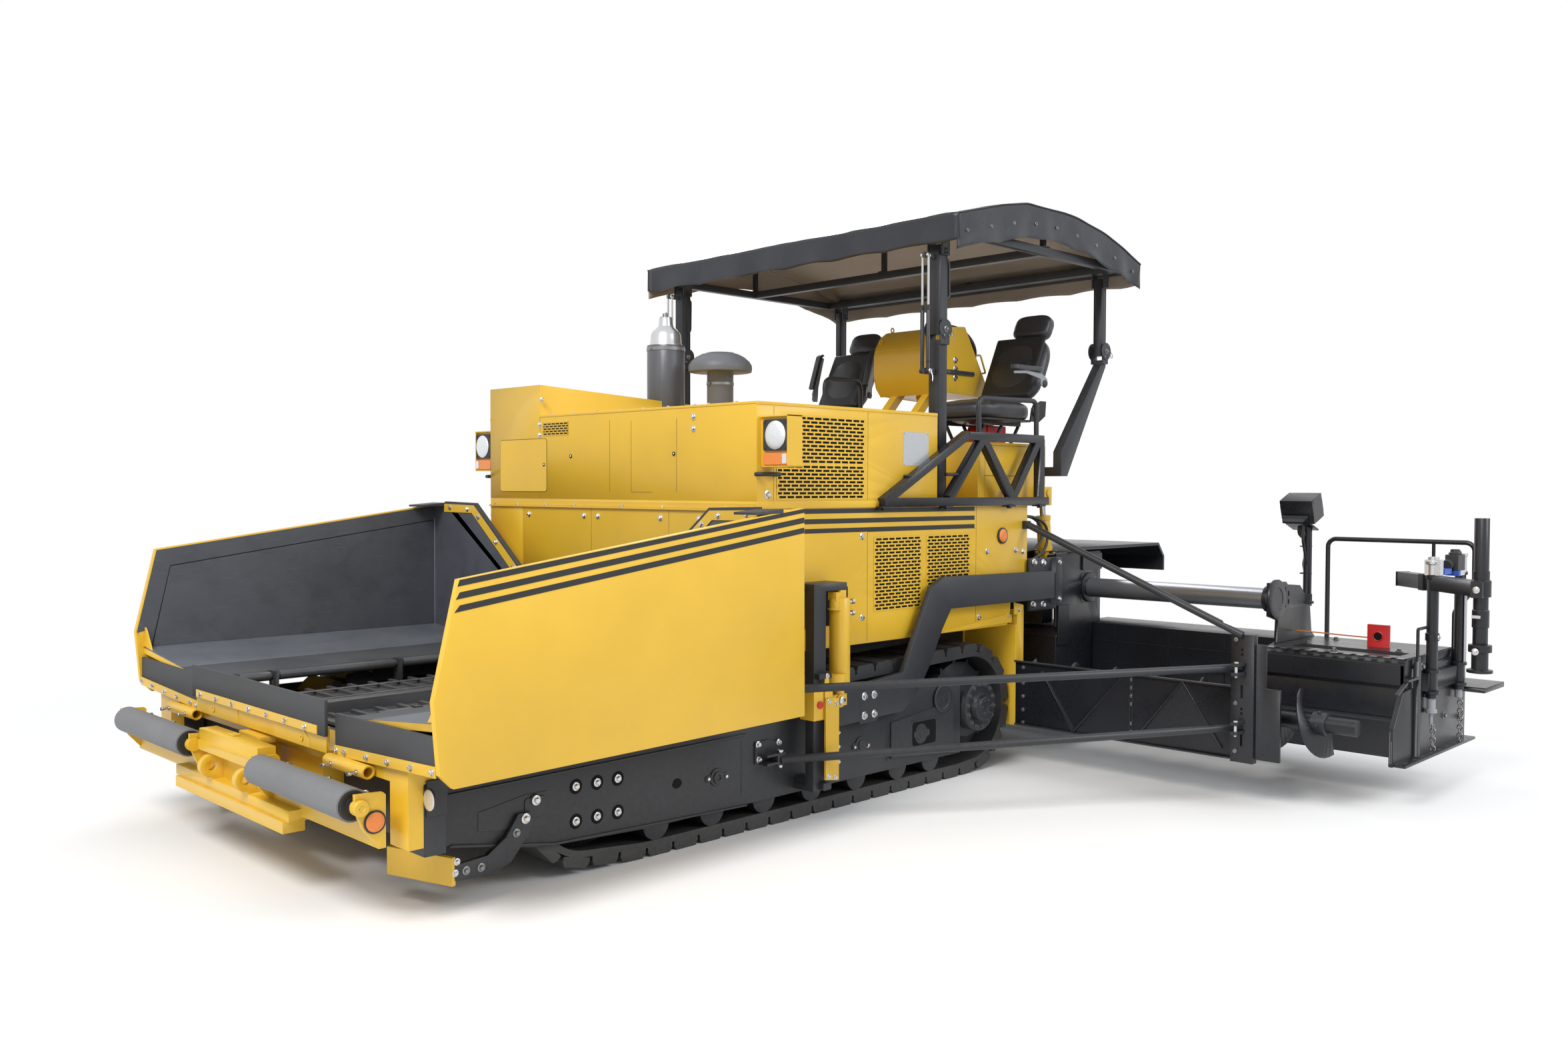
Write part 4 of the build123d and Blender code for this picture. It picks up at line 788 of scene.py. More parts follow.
# Muffler top in bright alloy with its thin pipes, clamp bands, and the intake's clamp and rain cap
(Piece()
 .lathe((*STACK_AT, 2659), UP, [(0, 112), (4, 112), (16, 104), (70, 100), (92, 92), (108, 74), (131, 50), (160, 46),
                                (188, 44), (188, 38), (150, 38)], 32).done("muffler_top", "machine", ALLOY, bevel=0))
pipes = Piece()
for x, y, r in ((-168, -762, 7), (-140, -735, 8), (-150, -775, 6)):
    pipes.rod((x, y, 2830), (x, y, 2879), r, 12)
pipes.done("muffler_pipes", "machine", STEEL, bevel=0)
bands = Piece()
for z in (2200, 2625):
    bands.lathe((*STACK_AT, z), UP, [(0, 125), (0, 128.5), (22, 128.5), (22, 125)], 36)
bands.bolt((STACK_AT[0] + 128, STACK_AT[1], 2636), FORWARD, 14)
bands.done("muffler_bands", "machine", STEEL, bevel=0)
(Piece()
 .lathe((*INTAKE_AT, 2462), UP, [(0, 196), (4, 203), (26, 206), (46, 203), (70, 188), (96, 158), (116, 120),
                                 (127, 70), (131, 4)], 40).done("intake_cap", "machine", TYRE_GREY, bevel=0))
(Piece().lathe((*INTAKE_AT, 2380), UP, [(0, 85), (0, 88.5), (16, 88.5), (16, 85)], 30)
 .box(-140, -118, -306, -294, 2382, 2394).lathe((*INTAKE_AT, 2151), UP, [(0, 112), (8, 112), (10, 86)], 30)
 .done("intake_clamp", "machine", STEEL, bevel=0))


# ---------------------------------------------------------------- track guard, rail and tow arm

GUARD_BOLTS = ((2010, 407), (1895, 406), (1780, 405), (2010, 253), (1895, 254), (1780, 253))
guard = Piece()
for x, z in GUARD_BOLTS:
    guard.bolt((x, 1236, z), LEFT, 21)
for x, z in ((310, 415), (310, 339), (309, 257), (182, 317), (71, 313), (1238, 316), (1122, 311)):
    guard.bolt((x, 1237, z), LEFT, 16)
guard.both("guard_bolts", CHROME, bevel=0)

# Painted shade: near-black discs in the bolts' seats, and near-black fills in a hole and a window of the guard
guard_shade_spots = Piece()
for x, z in GUARD_BOLTS:
    guard_shade_spots.lathe((x, 1234, z), LEFT, [(0, 34), (1.4, 34), (1.8, 30)], 20)
guard_shade_spots.prism("y", [(1461, 322), (1450, 344), (1428, 350), (1408, 340), (1400, 322), (1412, 306), (1432, 300),
                        (1452, 306)], 1234, 1236)
guard_shade_spots.plate_round("y", (-520, 248, -308, 388), 24, 1240, 1244)
guard_shade_spots.both("guard_painted_shade", PAINTED_SHADE, bevel=0)

guard_forms = Piece()
guard_forms.prism("y", [(2162, 416), (2274, 416), (2500, 380), (2500, 300), (2264, 268), (2163, 266)], 1230, 1238)
guard_forms.plate_round("y", (2170, 312, 2278, 400), 18, 1236, 1243)
guard_forms.lathe((2225, 1234, 386), LEFT, [(0, 26), (10, 26), (14, 20)], 28)
guard_forms.lathe((2268, 1234, 240), LEFT, [(0, 20), (7, 20), (10, 12)], 28)
guard_forms.lathe((1180, 1234, 314), LEFT, [(0, 44), (8, 44), (10, 30), (18, 30), (20, 14), (13, 12)], 28)
guard_forms.plate_round("y", (1106, 296, 1256, 332), 17, 1234, 1240)
guard_forms.lathe((128, 1234, 323), LEFT, [(0, 46), (8, 46), (10, 30), (17, 30), (19, 12)], 28)
guard_forms.plate_round("y", (54, 302, 200, 338), 17, 1234, 1240)
guard_forms.prism("y", [(-122, 409), (-688, 468), (-688, 164), (-122, 207)], 1230, 1243)
guard_forms.prism("y", [(765, 432), (765, 330), (830, 316), (930, 340), (930, 450), (840, 452)], 1230, 1245)
guard_forms.prism("y", [(2674, 481), (2674, 470), (990, 492), (990, 503)], 1230, 1246)
guard_forms.prism("y", [(2622, 270), (2640, 262), (2122, 170), (980, 138), (980, 147), (2122, 181)], 1229, 1242)
for x in (-98, 1012):
    guard_forms.prism("y", [(x, 200), (x + 5, 200), (x + 5, 470), (x, 470)], 1232, 1237.2)
guard_forms.both("guard_forms", DARK, bevel=2)

window_hub = Piece()
window_hub.lathe((-386, 1240, 314), LEFT, [(0, 58), (4, 58), (5, 40), (9, 40), (11, 22), (14, 22), (15, 12)], 28)
window_hub.plate_round("y", (-460, 292, -318, 336), 20, 1240, 1248)
window_hub.plate_round("y", (-528, 240, -300, 250), 4, 1240, 1247)
window_hub.plate_round("y", (-528, 386, -300, 396), 4, 1240, 1247)
window_hub.both("guard_window_hub", DARK, bevel=1)

(Piece().lathe((-585, 1242, 494), LEFT, [(0, 82), (6, 82), (9, 76), (9, 60), (5, 56), (5, 20), (12, 18), (13, 10)], 36)
 .both("top_roller_disc", DARK, bevel=1))

drive_x, drive_z = DRIVE_AT
(Piece().lathe((drive_x, 1252, drive_z), LEFT, [(0, 152), (7, 152), (10, 146), (10, 112), (4, 108), (4, 84),
                                                 (30, 76)], 40)
 .lathe((drive_x, 1297, drive_z), LEFT, [(0, 60), (5, 58), (8, 50), (8, 26), (5, 24), (5, 12)], 32)
 .both("drive_cover", DARK, bevel=1))
drive_bolts = Piece()
for count, radius, y, size, washer, start in ((14, 128, 1262, 18, True, 0.1), (6, 40, 1305, 10, False, 0)):
    for k in range(count):
        angle = 2 * math.pi * k / count + start
        at = (drive_x + radius * math.cos(angle), y, drive_z + radius * math.sin(angle))
        drive_bolts.bolt(at, LEFT, size, washer, k)
drive_bolts.both("drive_bolts", WORN, bevel=0)

(Piece().plate_round("y", (500, 1170, 640, 1232), 12, 1305, 1330).box(560, 640, 1236, 1312, 1176, 1214)
 .box(560, 640, 1236, 1312, 196, 232).box(540, 634, 1366, 1403, 748, 776)
 .plate_round("y", (540, 176, 600, 214), 8, 1366, 1403).both("rail_blocks", DARK, bevel=2))

# Painted shade filling the slot in the body panel
Piece().plate_round("y", (360, 1000, 520, 1206), 40, 1220.5, 1222).both("rail_slot_shade", PAINTED_SHADE, bevel=0)

scale = Piece()
scale.prism("y", [(592, 652), (484, 640), (484, 214), (592, 232)], 1399, 1403)
scale.box(560, 592, 1399, 1403, 645, 774)
scale.prism("y", [(590, 650), (584, 650), (584, 232), (590, 232)], 1403, 1409)
scale.both("scale_strips", YELLOW, bevel=1)
(Piece().bolts([(563, 1404, 630), (508, 1404, 614), (563, 1404, 246), (512, 1404, 236), (362, 1224, 1208), (576,
    1404, 762),
         (606, 1331, 1202), (530, 1331, 1196)], LEFT, 15).both("scale_bolts", CHROME, bevel=0))
(Piece().lathe((622, 1394, 618), LEFT, [(0, 20), (8, 20), (12, 14)], 16)
 .pair("slider_red_bolt", "tow_slider", RED, bevel=0.5))

(Piece().lathe((*LEVEL_AT, 1150), DOWN, [(0, 36), (50, 36), (52, 44), (60, 44)], 28)
 .lathe((*LEVEL_AT, 762), DOWN, [(0, 60), (56, 60), (58, 48)], 28).box(428, 490, 1325, 1385, 1140, 1182)
 .both("level_barrel_ends", YELLOW))
Piece().lathe((*LEVEL_AT, 706), DOWN, [(0, 52), (8, 52), (11, 44)], 28).both("level_barrel_rings", BLACK, bevel=1)
fittings = Piece()
for z in (1121, 1061):
    fittings.tube([(392, 1360, z), (345, 1366, z + 6), (330, 1366, z + 4)], 9)
    fittings.lathe((352, 1366, z + 6), (-1, 0, 0.1), [(0, 15), (18, 15), (22, 10)], 6)
fittings.both("level_fittings", CHROME, bevel=0.5)

(Piece().plate_round("y", (422, 584, 476, 652), 24, 1324, 1334).plate_round("y", (422, 584, 476, 652), 24, 1376, 1386)
 .pair("tow_slider_eyes", "tow_slider", YELLOW, bevel=2))
(Piece().lathe((450, 1322, 620), LEFT, [(0, 15), (66, 15), (68, 22), (76, 22), (79, 17)], 20)
 .pair("tow_slider_pins", "tow_slider", CHROME, bevel=0.5))

(Piece().bolts([(167, 1295, 599), (87, 1295, 599), (167, 1295, 494), (86, 1295, 495)], LEFT, 24)
 .bolts([(-1488, 1259, 1252), (-1590, 1259, 1246), (-1478, 1259, 987), (-1590, 1259, 979)], LEFT, 26)
 .bolts([(-1725, 1295, 1245), (-1725, 1295, 1010)], LEFT, 18).both("tow_arm_bolts", CHROME, body="screed", bevel=0))
(Piece().prism("y", [(206, 640), (56, 650), (40, 520), (60, 452), (206, 452)], 1290, 1295)
 .plate_round("y", (-1640, 955, -1452, 1272), 20, 1254, 1259).both("tow_arm_plates", DARK, body="screed"))

clevis = Piece()
for z in (382, 340):
    clevis.box(772, 905, 1240, 1306, z - 6, z + 6)
clevis.box(704, 812, 1276, 1284, 338, 372)
clevis.box(704, 812, 1304, 1312, 338, 372)
clevis.both("brace_clevises", DARK)
(Piece().lathe((800, 1292, 402), DOWN, [(0, 17), (10, 17), (12, 12), (88, 12), (92, 8)], 16)
 .lathe((722, 1272, 355), LEFT, [(0, 16), (8, 16), (9, 10), (46, 10), (54, 10)], 16)
 .bolts([(765, 1246, 428), (910, 1246, 436), (905, 1246, 360)], LEFT).both("brace_pins", CHROME, bevel=0.5))

(Piece().prism("y", [(-1302, 1010), (-1302, 935), (-1400, 925), (-1400, 990)], 1236, 1244)
 .prism("y", [(-610, 872), (-1300, 884), (-1300, 932), (-1270, 940), (-620, 886)], 1212, 1226)
 .both("rear_frame_edges", YELLOW, bevel=2))
(Piece()
 .bolts([(104, 1222, 1014), (-1269, 1222, 926), (-328, 1222, 867), (244, 1222, 867), (-1350, 1244, 960)], LEFT, 14)
 .both("panel_edge_bolts", CHROME, bevel=0))

(Piece().bolts([(2612, 1261, 205), (2620, 1261, 160)], LEFT, 16)
 .bolts([(2286, 1262, 321), (2225, 1249, 386)], LEFT, 24).both("scraper_bolts", CHROME, bevel=0))

# ---------------------------------------------------------------- tunnel plates and augers

(Piece().bolts([(-1314, 1302, z) for z in (608, 512, 429, 346, 267)], FORWARD, 15)
 .bolts([(-1314, 2048, z) for z in (614, 567, 520, 473, 359, 312)], FORWARD, 12)
 .bolts([(-1284, 2688, z) for z in (905, 560, 300)], FORWARD, 13).both("tunnel_bolts", STEEL, bevel=0))
# Painted shade: near-black fills in the slots of the tunnel plate
tunnel_shade = Piece()
for z0, z1 in ((590, 660), (330, 400), (820, 834), (845, 859), (500, 514), (525, 539)):
    tunnel_shade.box(-1287, -1284.5, 2718, 2730, z0, z1)
tunnel_shade.both("tunnel_painted_shade", PAINTED_SHADE, bevel=0)
tunnel_edges = Piece()
for y in (2040, 2056):
    tunnel_edges.box(-1317, -1311, y - 3, y + 3, 252, 644)
tunnel_edges.box(-1318, -1296, 1246, 2660, 640, 650)
tunnel_edges.box(-1318, -1300, 1246, 2660, 247, 256)
tunnel_edges.both("tunnel_edges", DARK)

AUGER_AT = (-1518.0, 465.0)


def flights_between(stretches, hand, shift):
    """Helical blades round the auger shaft, over stretches of y."""
    piece = Piece()
    pitch, steps = 280.0, 30
    for first, last in stretches:
        count = int((last - first) / pitch * steps)
        rows = []
        for k in range(count + 1):
            y = first + (last - first) * k / count
            angle = hand * 2 * math.pi * (y - 300) / pitch + shift
            out = (math.cos(angle), math.sin(angle))
            rows.append([(AUGER_AT[0] + out[0] * r, y + dy, AUGER_AT[1] + out[1] * r)
                         for r, dy in ((43, -9), (176, -6), (180, 0), (176, 6), (43, 9))])
        piece.rings(rows)
    return piece


for side, sign in SIDES:
    blades = flights_between(((300, 848), (952, 1163), (1267, 3100)), -1, 4.37)
    shaft = Piece().lathe((AUGER_AT[0], 200, AUGER_AT[1]), LEFT, [(0, 45), (3050, 45)], 28)
    collars = Piece()
    for y in (1250, 2120, 3020):
        collars.lathe((AUGER_AT[0], y, AUGER_AT[1]), LEFT, [(0, 62), (70, 62), (74, 56)])
        for k in range(5):
            angle = 2 * math.pi * k / 5
            way = (math.cos(angle), 0, math.sin(angle))
            collars.bolt((AUGER_AT[0] + 60 * way[0], y + 36, AUGER_AT[1] + 60 * way[2]), way, 18, False)
    blades, shaft, collars = [p if sign == 1 else p.flipped() for p in (blades, shaft, collars)]
    flights = blades.done(f"auger_flights_{side}", f"auger_{side}", BLACK, bevel=1, angle=60)
    shaft.done(f"auger_shaft_{side}", f"auger_{side}", BLACK, bevel=2)
    collars.done(f"auger_collars_{side}", f"auger_{side}", DARK, bevel=1)
    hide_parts(f"auger_{side}")


# ---------------------------------------------------------------- canopy sheet

ROOF_LINE = [(-2540, 3255), (-2143, 3379), (-1900, 3424), (-1673, 3452), (-1206, 3453), (-510, 3294)]
SIDE_LINE = [(-2540, 3072), (-2313, 3126), (-1809, 3221), (-1366, 3241), (-1140, 3210), (-510, 3074)]
SHEET_Y = 1394.0
SHEET_BACK, SHEET_LONG = -2536, 2022
BARS = (-2480, -1500, -570)  # x of the roof frame's cross bars
SAG, SCALLOP = 20, 13  # how far the sheet hangs between the bars, and the hem's waves rise


def smooth_at(line, x):
    """A soft curve through a line's points, at x."""
    for i in range(len(line) - 1):
        (x0, z0), (x1, z1) = line[i], line[i + 1]
        if x <= x1 or i == len(line) - 2:
            before, after = line[max(i - 1, 0)], line[min(i + 2, len(line) - 1)]
            m0 = (z1 - before[1]) / max(x1 - before[0], 1)
            m1 = (after[1] - z0) / max(after[0] - x0, 1)
            t = min(max((x - x0) / (x1 - x0), 0), 1)
            span = x1 - x0
            return ((2 * t ** 3 - 3 * t ** 2 + 1) * z0 + (t ** 3 - 2 * t ** 2 + t) * span * m0
                    + (-2 * t ** 3 + 3 * t ** 2) * z1 + (t ** 3 - t ** 2) * span * m1)


def wrinkle(x, y, z, scale, seed):
    return noise.noise(Vector((x / scale, y / scale + seed, z / scale)))


def sheet_point(x, across):
    """A point of the sheet in mm: across is -1 to 1 over the roof, then down a side valance to -2 or 2."""
    side = 1 if across >= 0 else -1
    reach = abs(across)
    top = min(smooth_at(ROOF_LINE, x), 3453.0)
    if reach <= 1:
        y = side * SHEET_Y * reach
        bar = min(min(abs(x - b) for b in BARS) / 240, 1)
        sag = SAG * bar * math.sin(math.pi * min(abs(((y + 1300) % 1300) / 1300), 1)) if abs(y) < 1300 else 0
        edge = 10 * max(0, (reach - 0.93) / 0.07) ** 2
        return x, y, top - sag - edge + 4.0 * wrinkle(x, y, top, 150, 3) - 4
    down = reach - 1
    low = smooth_at(SIDE_LINE, x) + SCALLOP * abs(math.sin(math.pi * (x + 2540) / 405))
    z = (top - 12) + (low - (top - 12)) * down
    fold = down * (7.0 * math.sin(x / 62 + 1.3 * math.sin(x / 190)) + 9.0 * wrinkle(x, side * 900, z, 120, 7))
    return x, side * min(SHEET_Y + fold - 10 * down, 1399.0), z


canopy = Piece()
columns = 112
rows = [-2 + k / 10 for k in range(10)] + [-1 + k / 28 for k in range(57)] + [1 + k / 10 for k in range(1, 11)]
grid = []
for i in range(columns + 1):
    x = SHEET_BACK + SHEET_LONG * i / columns
    grid.append([canopy.bm.verts.new(sheet_point(x, across)) for across in rows])
for i in range(columns):
    for j in range(len(rows) - 1):
        canopy.bm.faces.new([grid[i][j], grid[i][j + 1], grid[i + 1][j + 1], grid[i + 1][j]])
# The end valances go down from the roof's first and last rows
for last, x_end, low in ((0, -2537.0, 3088), (columns, -513.0, 3121)):
    edge = [v for v, across in zip(grid[last], rows) if abs(across) <= 1]
    previous = edge
    for k in range(1, 9):
        row = []
        for top_vert in edge:
            x, y, z = top_vert.co
            hem = low + SCALLOP * abs(math.sin(math.pi * y / 420))
            inward = 1 if last == 0 else -1
            fold = k / 8 * (6 + 7 * math.sin(y / 70 + math.sin(y / 230)) + 8 * wrinkle(x, y, 0, 130, 11))
            row.append(canopy.bm.verts.new((x_end + inward * (2 + max(fold, -1.5)), y, z + (hem - z) * k / 8)))
        for j in range(len(edge) - 1):
            canopy.bm.faces.new([previous[j], previous[j + 1], row[j + 1], row[j]])
        previous = row
bmesh.ops.recalc_face_normals(canopy.bm, faces=canopy.bm.faces[:])
bmesh.ops.scale(canopy.bm, vec=(MM, MM, MM), verts=canopy.bm.verts[:])
canopy_mesh = bpy.data.meshes.new("canopy_sheet")
canopy.bm.to_mesh(canopy_mesh)
canopy.bm.free()
canopy_sheet = show("canopy_sheet", canopy_mesh)
canopy_mesh.materials.append(VINYL)
canopy_mesh.materials.append(LINING)
canopy_mesh.shade_smooth()
thick = canopy_sheet.modifiers.new("thickness", "SOLIDIFY")
thick.thickness = 0.0025
thick.offset = -1
thick.material_offset = 1
thick.material_offset_rim = 0
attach(canopy_sheet, "canopy_roof")
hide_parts("canopy_cover")

piping = Piece()
for side in (-1, 1):
    piping.tube([sheet_point(SHEET_BACK + SHEET_LONG * i / 60, side * 1.0) for i in range(61)], 4.5, 0, 8)
piping.done("canopy_piping", "canopy_roof", PLASTIC, bevel=0)

lacing = Piece()
for k in range(9):
    x = -2440 + k * 230
    for side in (-1, 1):
        point = sheet_point(x, side * 1.55)
        lacing.ring((point[0], side * 1391.0, point[2]), LEFT, 9, 2.5, 14, 6)
lacing.done("canopy_eyelets", "canopy_roof", STEEL, bevel=0)

# ---------------------------------------------------------------- posts, knuckles and struts

knuckles = Piece()
knuckle_pins = Piece()
for x, y, size, z in ((-640, 1150, 70, 2650), (-2360, 1190, 60, 2650)):
    for out in (-1, 1):
        face = y + out * (size / 2 + 18)
        knuckles.lathe((x, face - (0 if out > 0 else 6), z), LEFT, [(0, 58), (6, 58)], 32)
        knuckle_pins.bolt((x, face + out * 6, z), (0, out, 0), 19)
        knuckle_pins.bolt((x + 24, face + out * 6, z - 38), (0, out, 0), 11, False)
        knuckle_pins.bolt((x - 24, face + out * 6, z - 38), (0, out, 0), 11, False)
    knuckle_pins.tube([(x - 52, y + size / 2 + 16, z + 6), (x - 76, y + size / 2 + 22, z - 14),
                       (x - 80, y + size / 2 + 22, z - 40), (x - 66, y + size / 2 + 22, z - 44),
                       (x - 54, y + size / 2 + 16, z - 12)], 2.2, 10, 6)
knuckles.both("post_knuckles", DARK)
knuckle_pins.both("post_knuckle_pins", STEEL, bevel=0)

strut_ends = Piece()
for y in (1128, 1172):
    strut_ends.lathe((-520, y, 2752), UP, [(0, 13.5), (24, 13.5), (26, 10), (30, 8.2)], 18)
    strut_ends.lathe((-520, y, 2424), UP, [(0, 8), (20, 8), (26, 12.6), (34, 12.6)], 16)
strut_ends.both("strut_collars", BLACK, body="strut_barrels", bevel=0.5)
(Piece().bolt((-520, 1188, 2400), LEFT, 14)
 .tube([(-520, 1196, 2396), (-524, 1204, 2360), (-516, 1206, 2330), (-522, 1204, 2360)], 2.0, 6, 6)
 .both("strut_clips", CHROME, bevel=0))

for name, side in SIDES:
    corners = [(-670, 1150, 3058), (-722, 1162, 3066), (-722, 1166, 2842), (-670, 1152, 2834)]
    (Piece().tube([(x, side * y, z) for x, y, z in corners], 9, 26, 12)
     .done(f"post_handle_{name}", "canopy_front_posts", DARK, bevel=0))

caps = Piece()
for x in BARS:
    for y in (-1300, 0, 1300):
        caps.plate_round("z", (x - 34, y - 34, x + 34, y + 34), 10, 3224, 3230)
caps.done("roof_pads", "canopy_roof", DARK, bevel=1)

# ---------------------------------------------------------------- seats

SEAT_Y = 770.0


def pad(name, centre, half, tilt, power, crown, grooves, groove_depth, pull, seed, waist, side):
    """A stuffed closed form: half sizes in mm, tilt about Y in degrees, sewn channels across or along it."""
    form = bmesh.new()
    bmesh.ops.create_cube(form, size=2.0)
    bmesh.ops.subdivide_edges(form, edges=form.edges[:], cuts=23, use_grid_fill=True)
    turn = Matrix.Rotation(math.radians(tilt), 3, "Y")
    for vert in form.verts:
        u, v, w = vert.co
        length = (abs(u) ** power + abs(v) ** power + abs(w) ** power) ** (1 / power)
        u, v, w = u / length, v / length, w / length
        bulge = 1 + crown * (1 - u * u) * (1 - v * v)
        lift = w * half[2] * bulge
        for along, at, width in grooves:
            distance = abs((u if along == "v" else v) - at)
            if w > 0.2:
                lift -= groove_depth * math.exp(-(distance / width) ** 2)
        narrow = 1 - waist * (1 - u) / 2
        x = u * half[0] * (1 - pull * (1 - v * v) * (1 if abs(u) > 0.75 else 0))
        y = v * half[1] * (1 - pull * (1 - u * u) * (1 if abs(v) > 0.75 else 0)) * narrow
        crease = (1.6 * noise.noise(Vector((u * 3.1 + seed, v * 3.3, w * 2.0)))
                  + 0.9 * noise.noise(Vector((u * 9 + seed, v * 9, w * 7))))
        spot = turn @ Vector((x, y, lift + crease))
        vert.co = Vector((centre[0] + spot.x, side * (centre[1] + spot.y), centre[2] + spot.z)) * MM
    if side < 0:
        bmesh.ops.reverse_faces(form, faces=form.faces[:])
    mesh = bpy.data.meshes.new(name)
    form.to_mesh(mesh)
    form.free()
    mesh.materials.append(LEATHER)
    mesh.shade_smooth()
    item = show(name, mesh)
    extra = item.modifiers.new("smooth", "SUBSURF")
    extra.levels = 1
    extra.render_levels = 1
    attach(item, "machine")
    return item


def stitches(piece, start, end, count, size=1.5):
    """A row of short thread stitches."""
    a, b = Vector(start), Vector(end)
    for k in range(count):
        piece.tube([a.lerp(b, (k + 0.18) / count), a.lerp(b, (k + 0.82) / count)], size, 0, 5)


BACK_TILT = -116.0
BACK_AT = Vector((-2000, SEAT_Y, 2520))


def on_back(u, v, w):
    """A point on the seat's back: up it, across it and out of its front."""
    return BACK_AT + Matrix.Rotation(math.radians(BACK_TILT), 3, "Y") @ Vector((u, v, w))


for label, side in SIDES:
    cushion = pad(f"seat_cushion_{label}", (-1604, SEAT_Y, 2224), (300, 250, 72), 0, 3.4, 0.18,
                  (("u", -0.66, 0.045), ("u", 0.66, 0.045), ("v", 0.62, 0.05)), 10, 0.03, 1.0, 0.04, side)
    if side > 0:
        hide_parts("seats")
    pad(f"seat_back_{label}", tuple(BACK_AT), (252, 232, 66), BACK_TILT, 2.9, 0.20,
        (("u", -0.64, 0.045), ("u", 0.64, 0.045), ("v", -0.42, 0.045)), 10, 0.02, 4.0, 0.0, side)
    pad(f"seat_headrest_{label}", (-2194, SEAT_Y, 2826), (92, 146, 58), BACK_TILT, 3.6, 0.08, (("v", 0.55, 0.09),), 4,
        0.02, 8.0, 0.0, side)

seat_parts = Piece()
seat_parts.plate_round("z", (-1880, 545, -1320, 995), 60, 2160, 2172)
for y in (508, 1018):
    seat_parts.prism("y", [(-1880, 2160), (-1780, 2160), (-1800, 2250), (-1900, 2300), (-1960, 2300), (-1950, 2200)],
                     y, y + 14)
for y in (640, 900):
    seat_parts.box(-1840, -1360, y - 12, y + 12, 2132, 2160)
    inward = y + (30 if y < SEAT_Y else -30)
    seat_parts.tube([(-2128, inward, 2745), (-2160, inward, 2815)], 7)
for x in (-1790, -1600, -1410):
    seat_parts.tube([(x - 50, 650, 2010), (x + 40, 650, 2132)], 12)
    seat_parts.tube([(x - 50, 890, 2132), (x + 40, 890, 2010)], 12)
seat_parts.plate_round("z", (-1810, 600, -1370, 940), 30, 2001, 2016)
seat_parts.lathe((-1830, 1030, 2236), LEFT, [(0, 44), (14, 44), (18, 34), (24, 30)])
seat_parts.lathe((-1830, 510, 2236), RIGHT, [(0, 44), (14, 44), (18, 34), (24, 30)])
seat_parts.tube([(-1400, 1000, 2120), (-1330, 1036, 2120), (-1250, 1040, 2124)], 7, 16)
seat_parts.both("seat_frames", PLASTIC)

seat_back_shell = Piece()
shell = [on_back(u, v, -50) for u, v in ((-236, -205), (236, -205), (236, 205), (-236, 205))]
far = [on_back(u, v, -66) for u, v in ((-216, -185), (216, -185), (216, 185), (-216, 185))]
seat_back_shell.rings([shell, far])
seat_back_shell.both("seat_back_shells", PLASTIC, bevel=10, segments=3)

(Piece().box(-1760, -1560, 690, 850, 2016, 2132)
 .prism("y", [(-1560, 2020), (-1480, 2020), (-1540, 2128), (-1560, 2128)], 700, 840)
 .both("seat_suspension", RED, bevel=6, segments=2))

arms = Piece()
for y in (1044, 496):
    out = 10 if y > 770 else -10
    arms.prism("y", [(-1946, 2412), (-1912, 2386), (-1868, 2404), (-1860, 2444), (-1700, 2470), (-1560, 2462),
                     (-1560, 2478), (-1700, 2492), (-1880, 2478), (-1935, 2450)], y, y + out)
    arms.prism("y", [(-1930, 2390), (-1880, 2392), (-1874, 2450), (-1900, 2520), (-1962, 2680), (-1984, 2740),
                     (-2006, 2734), (-1984, 2660), (-1940, 2500), (-1936, 2440)], -y, -y - out)
arms.done("armrest_levers", "machine", GREY, bevel=3, segments=2)
arm_pads = Piece()
for y in (1046, 494):
    arm_pads.plate_round("z", (-1870, y - 28, -1550, y + 28), 24, 2490, 2522)
    outer = [(-1994, 2752), (-1966, 2742), (-1902, 2560), (-1874, 2480), (-1850, 2490), (-1880, 2580), (-1936, 2742),
             (-1966, 2766)]
    arm_pads.prism("y", outer, -y - 26, -y + 26)
arm_pads.done("armrest_pads", "machine", LEATHER, bevel=9, segments=3)
(Piece().lathe((-1905, 1052, 2414), LEFT, [(0, 24), (8, 24), (11, 18), (13, 8)], 20)
 .lathe((-1905, 488, 2414), RIGHT, [(0, 24), (8, 24), (11, 18), (13, 8)], 20)
 .both("armrest_hubs", PLASTIC, bevel=0.5))

thread = Piece()
for v in (-0.64 * 224, 0.64 * 224):
    stitches(thread, on_back(-200, v - 10, 60), on_back(205, v - 10, 60), 44)
stitches(thread, on_back(-0.42 * 248 - 10, -135, 64), on_back(-0.42 * 248 - 10, 135, 64), 30)
for v in (-0.66 * 248, 0.66 * 248):
    stitches(thread, (-1820, SEAT_Y + v + 10, 2290), (-1450, SEAT_Y + v + 10, 2290), 40)
thread.both("seat_stitching", GREY, bevel=0)

# ---------------------------------------------------------------- console, boxes and rails of the platform

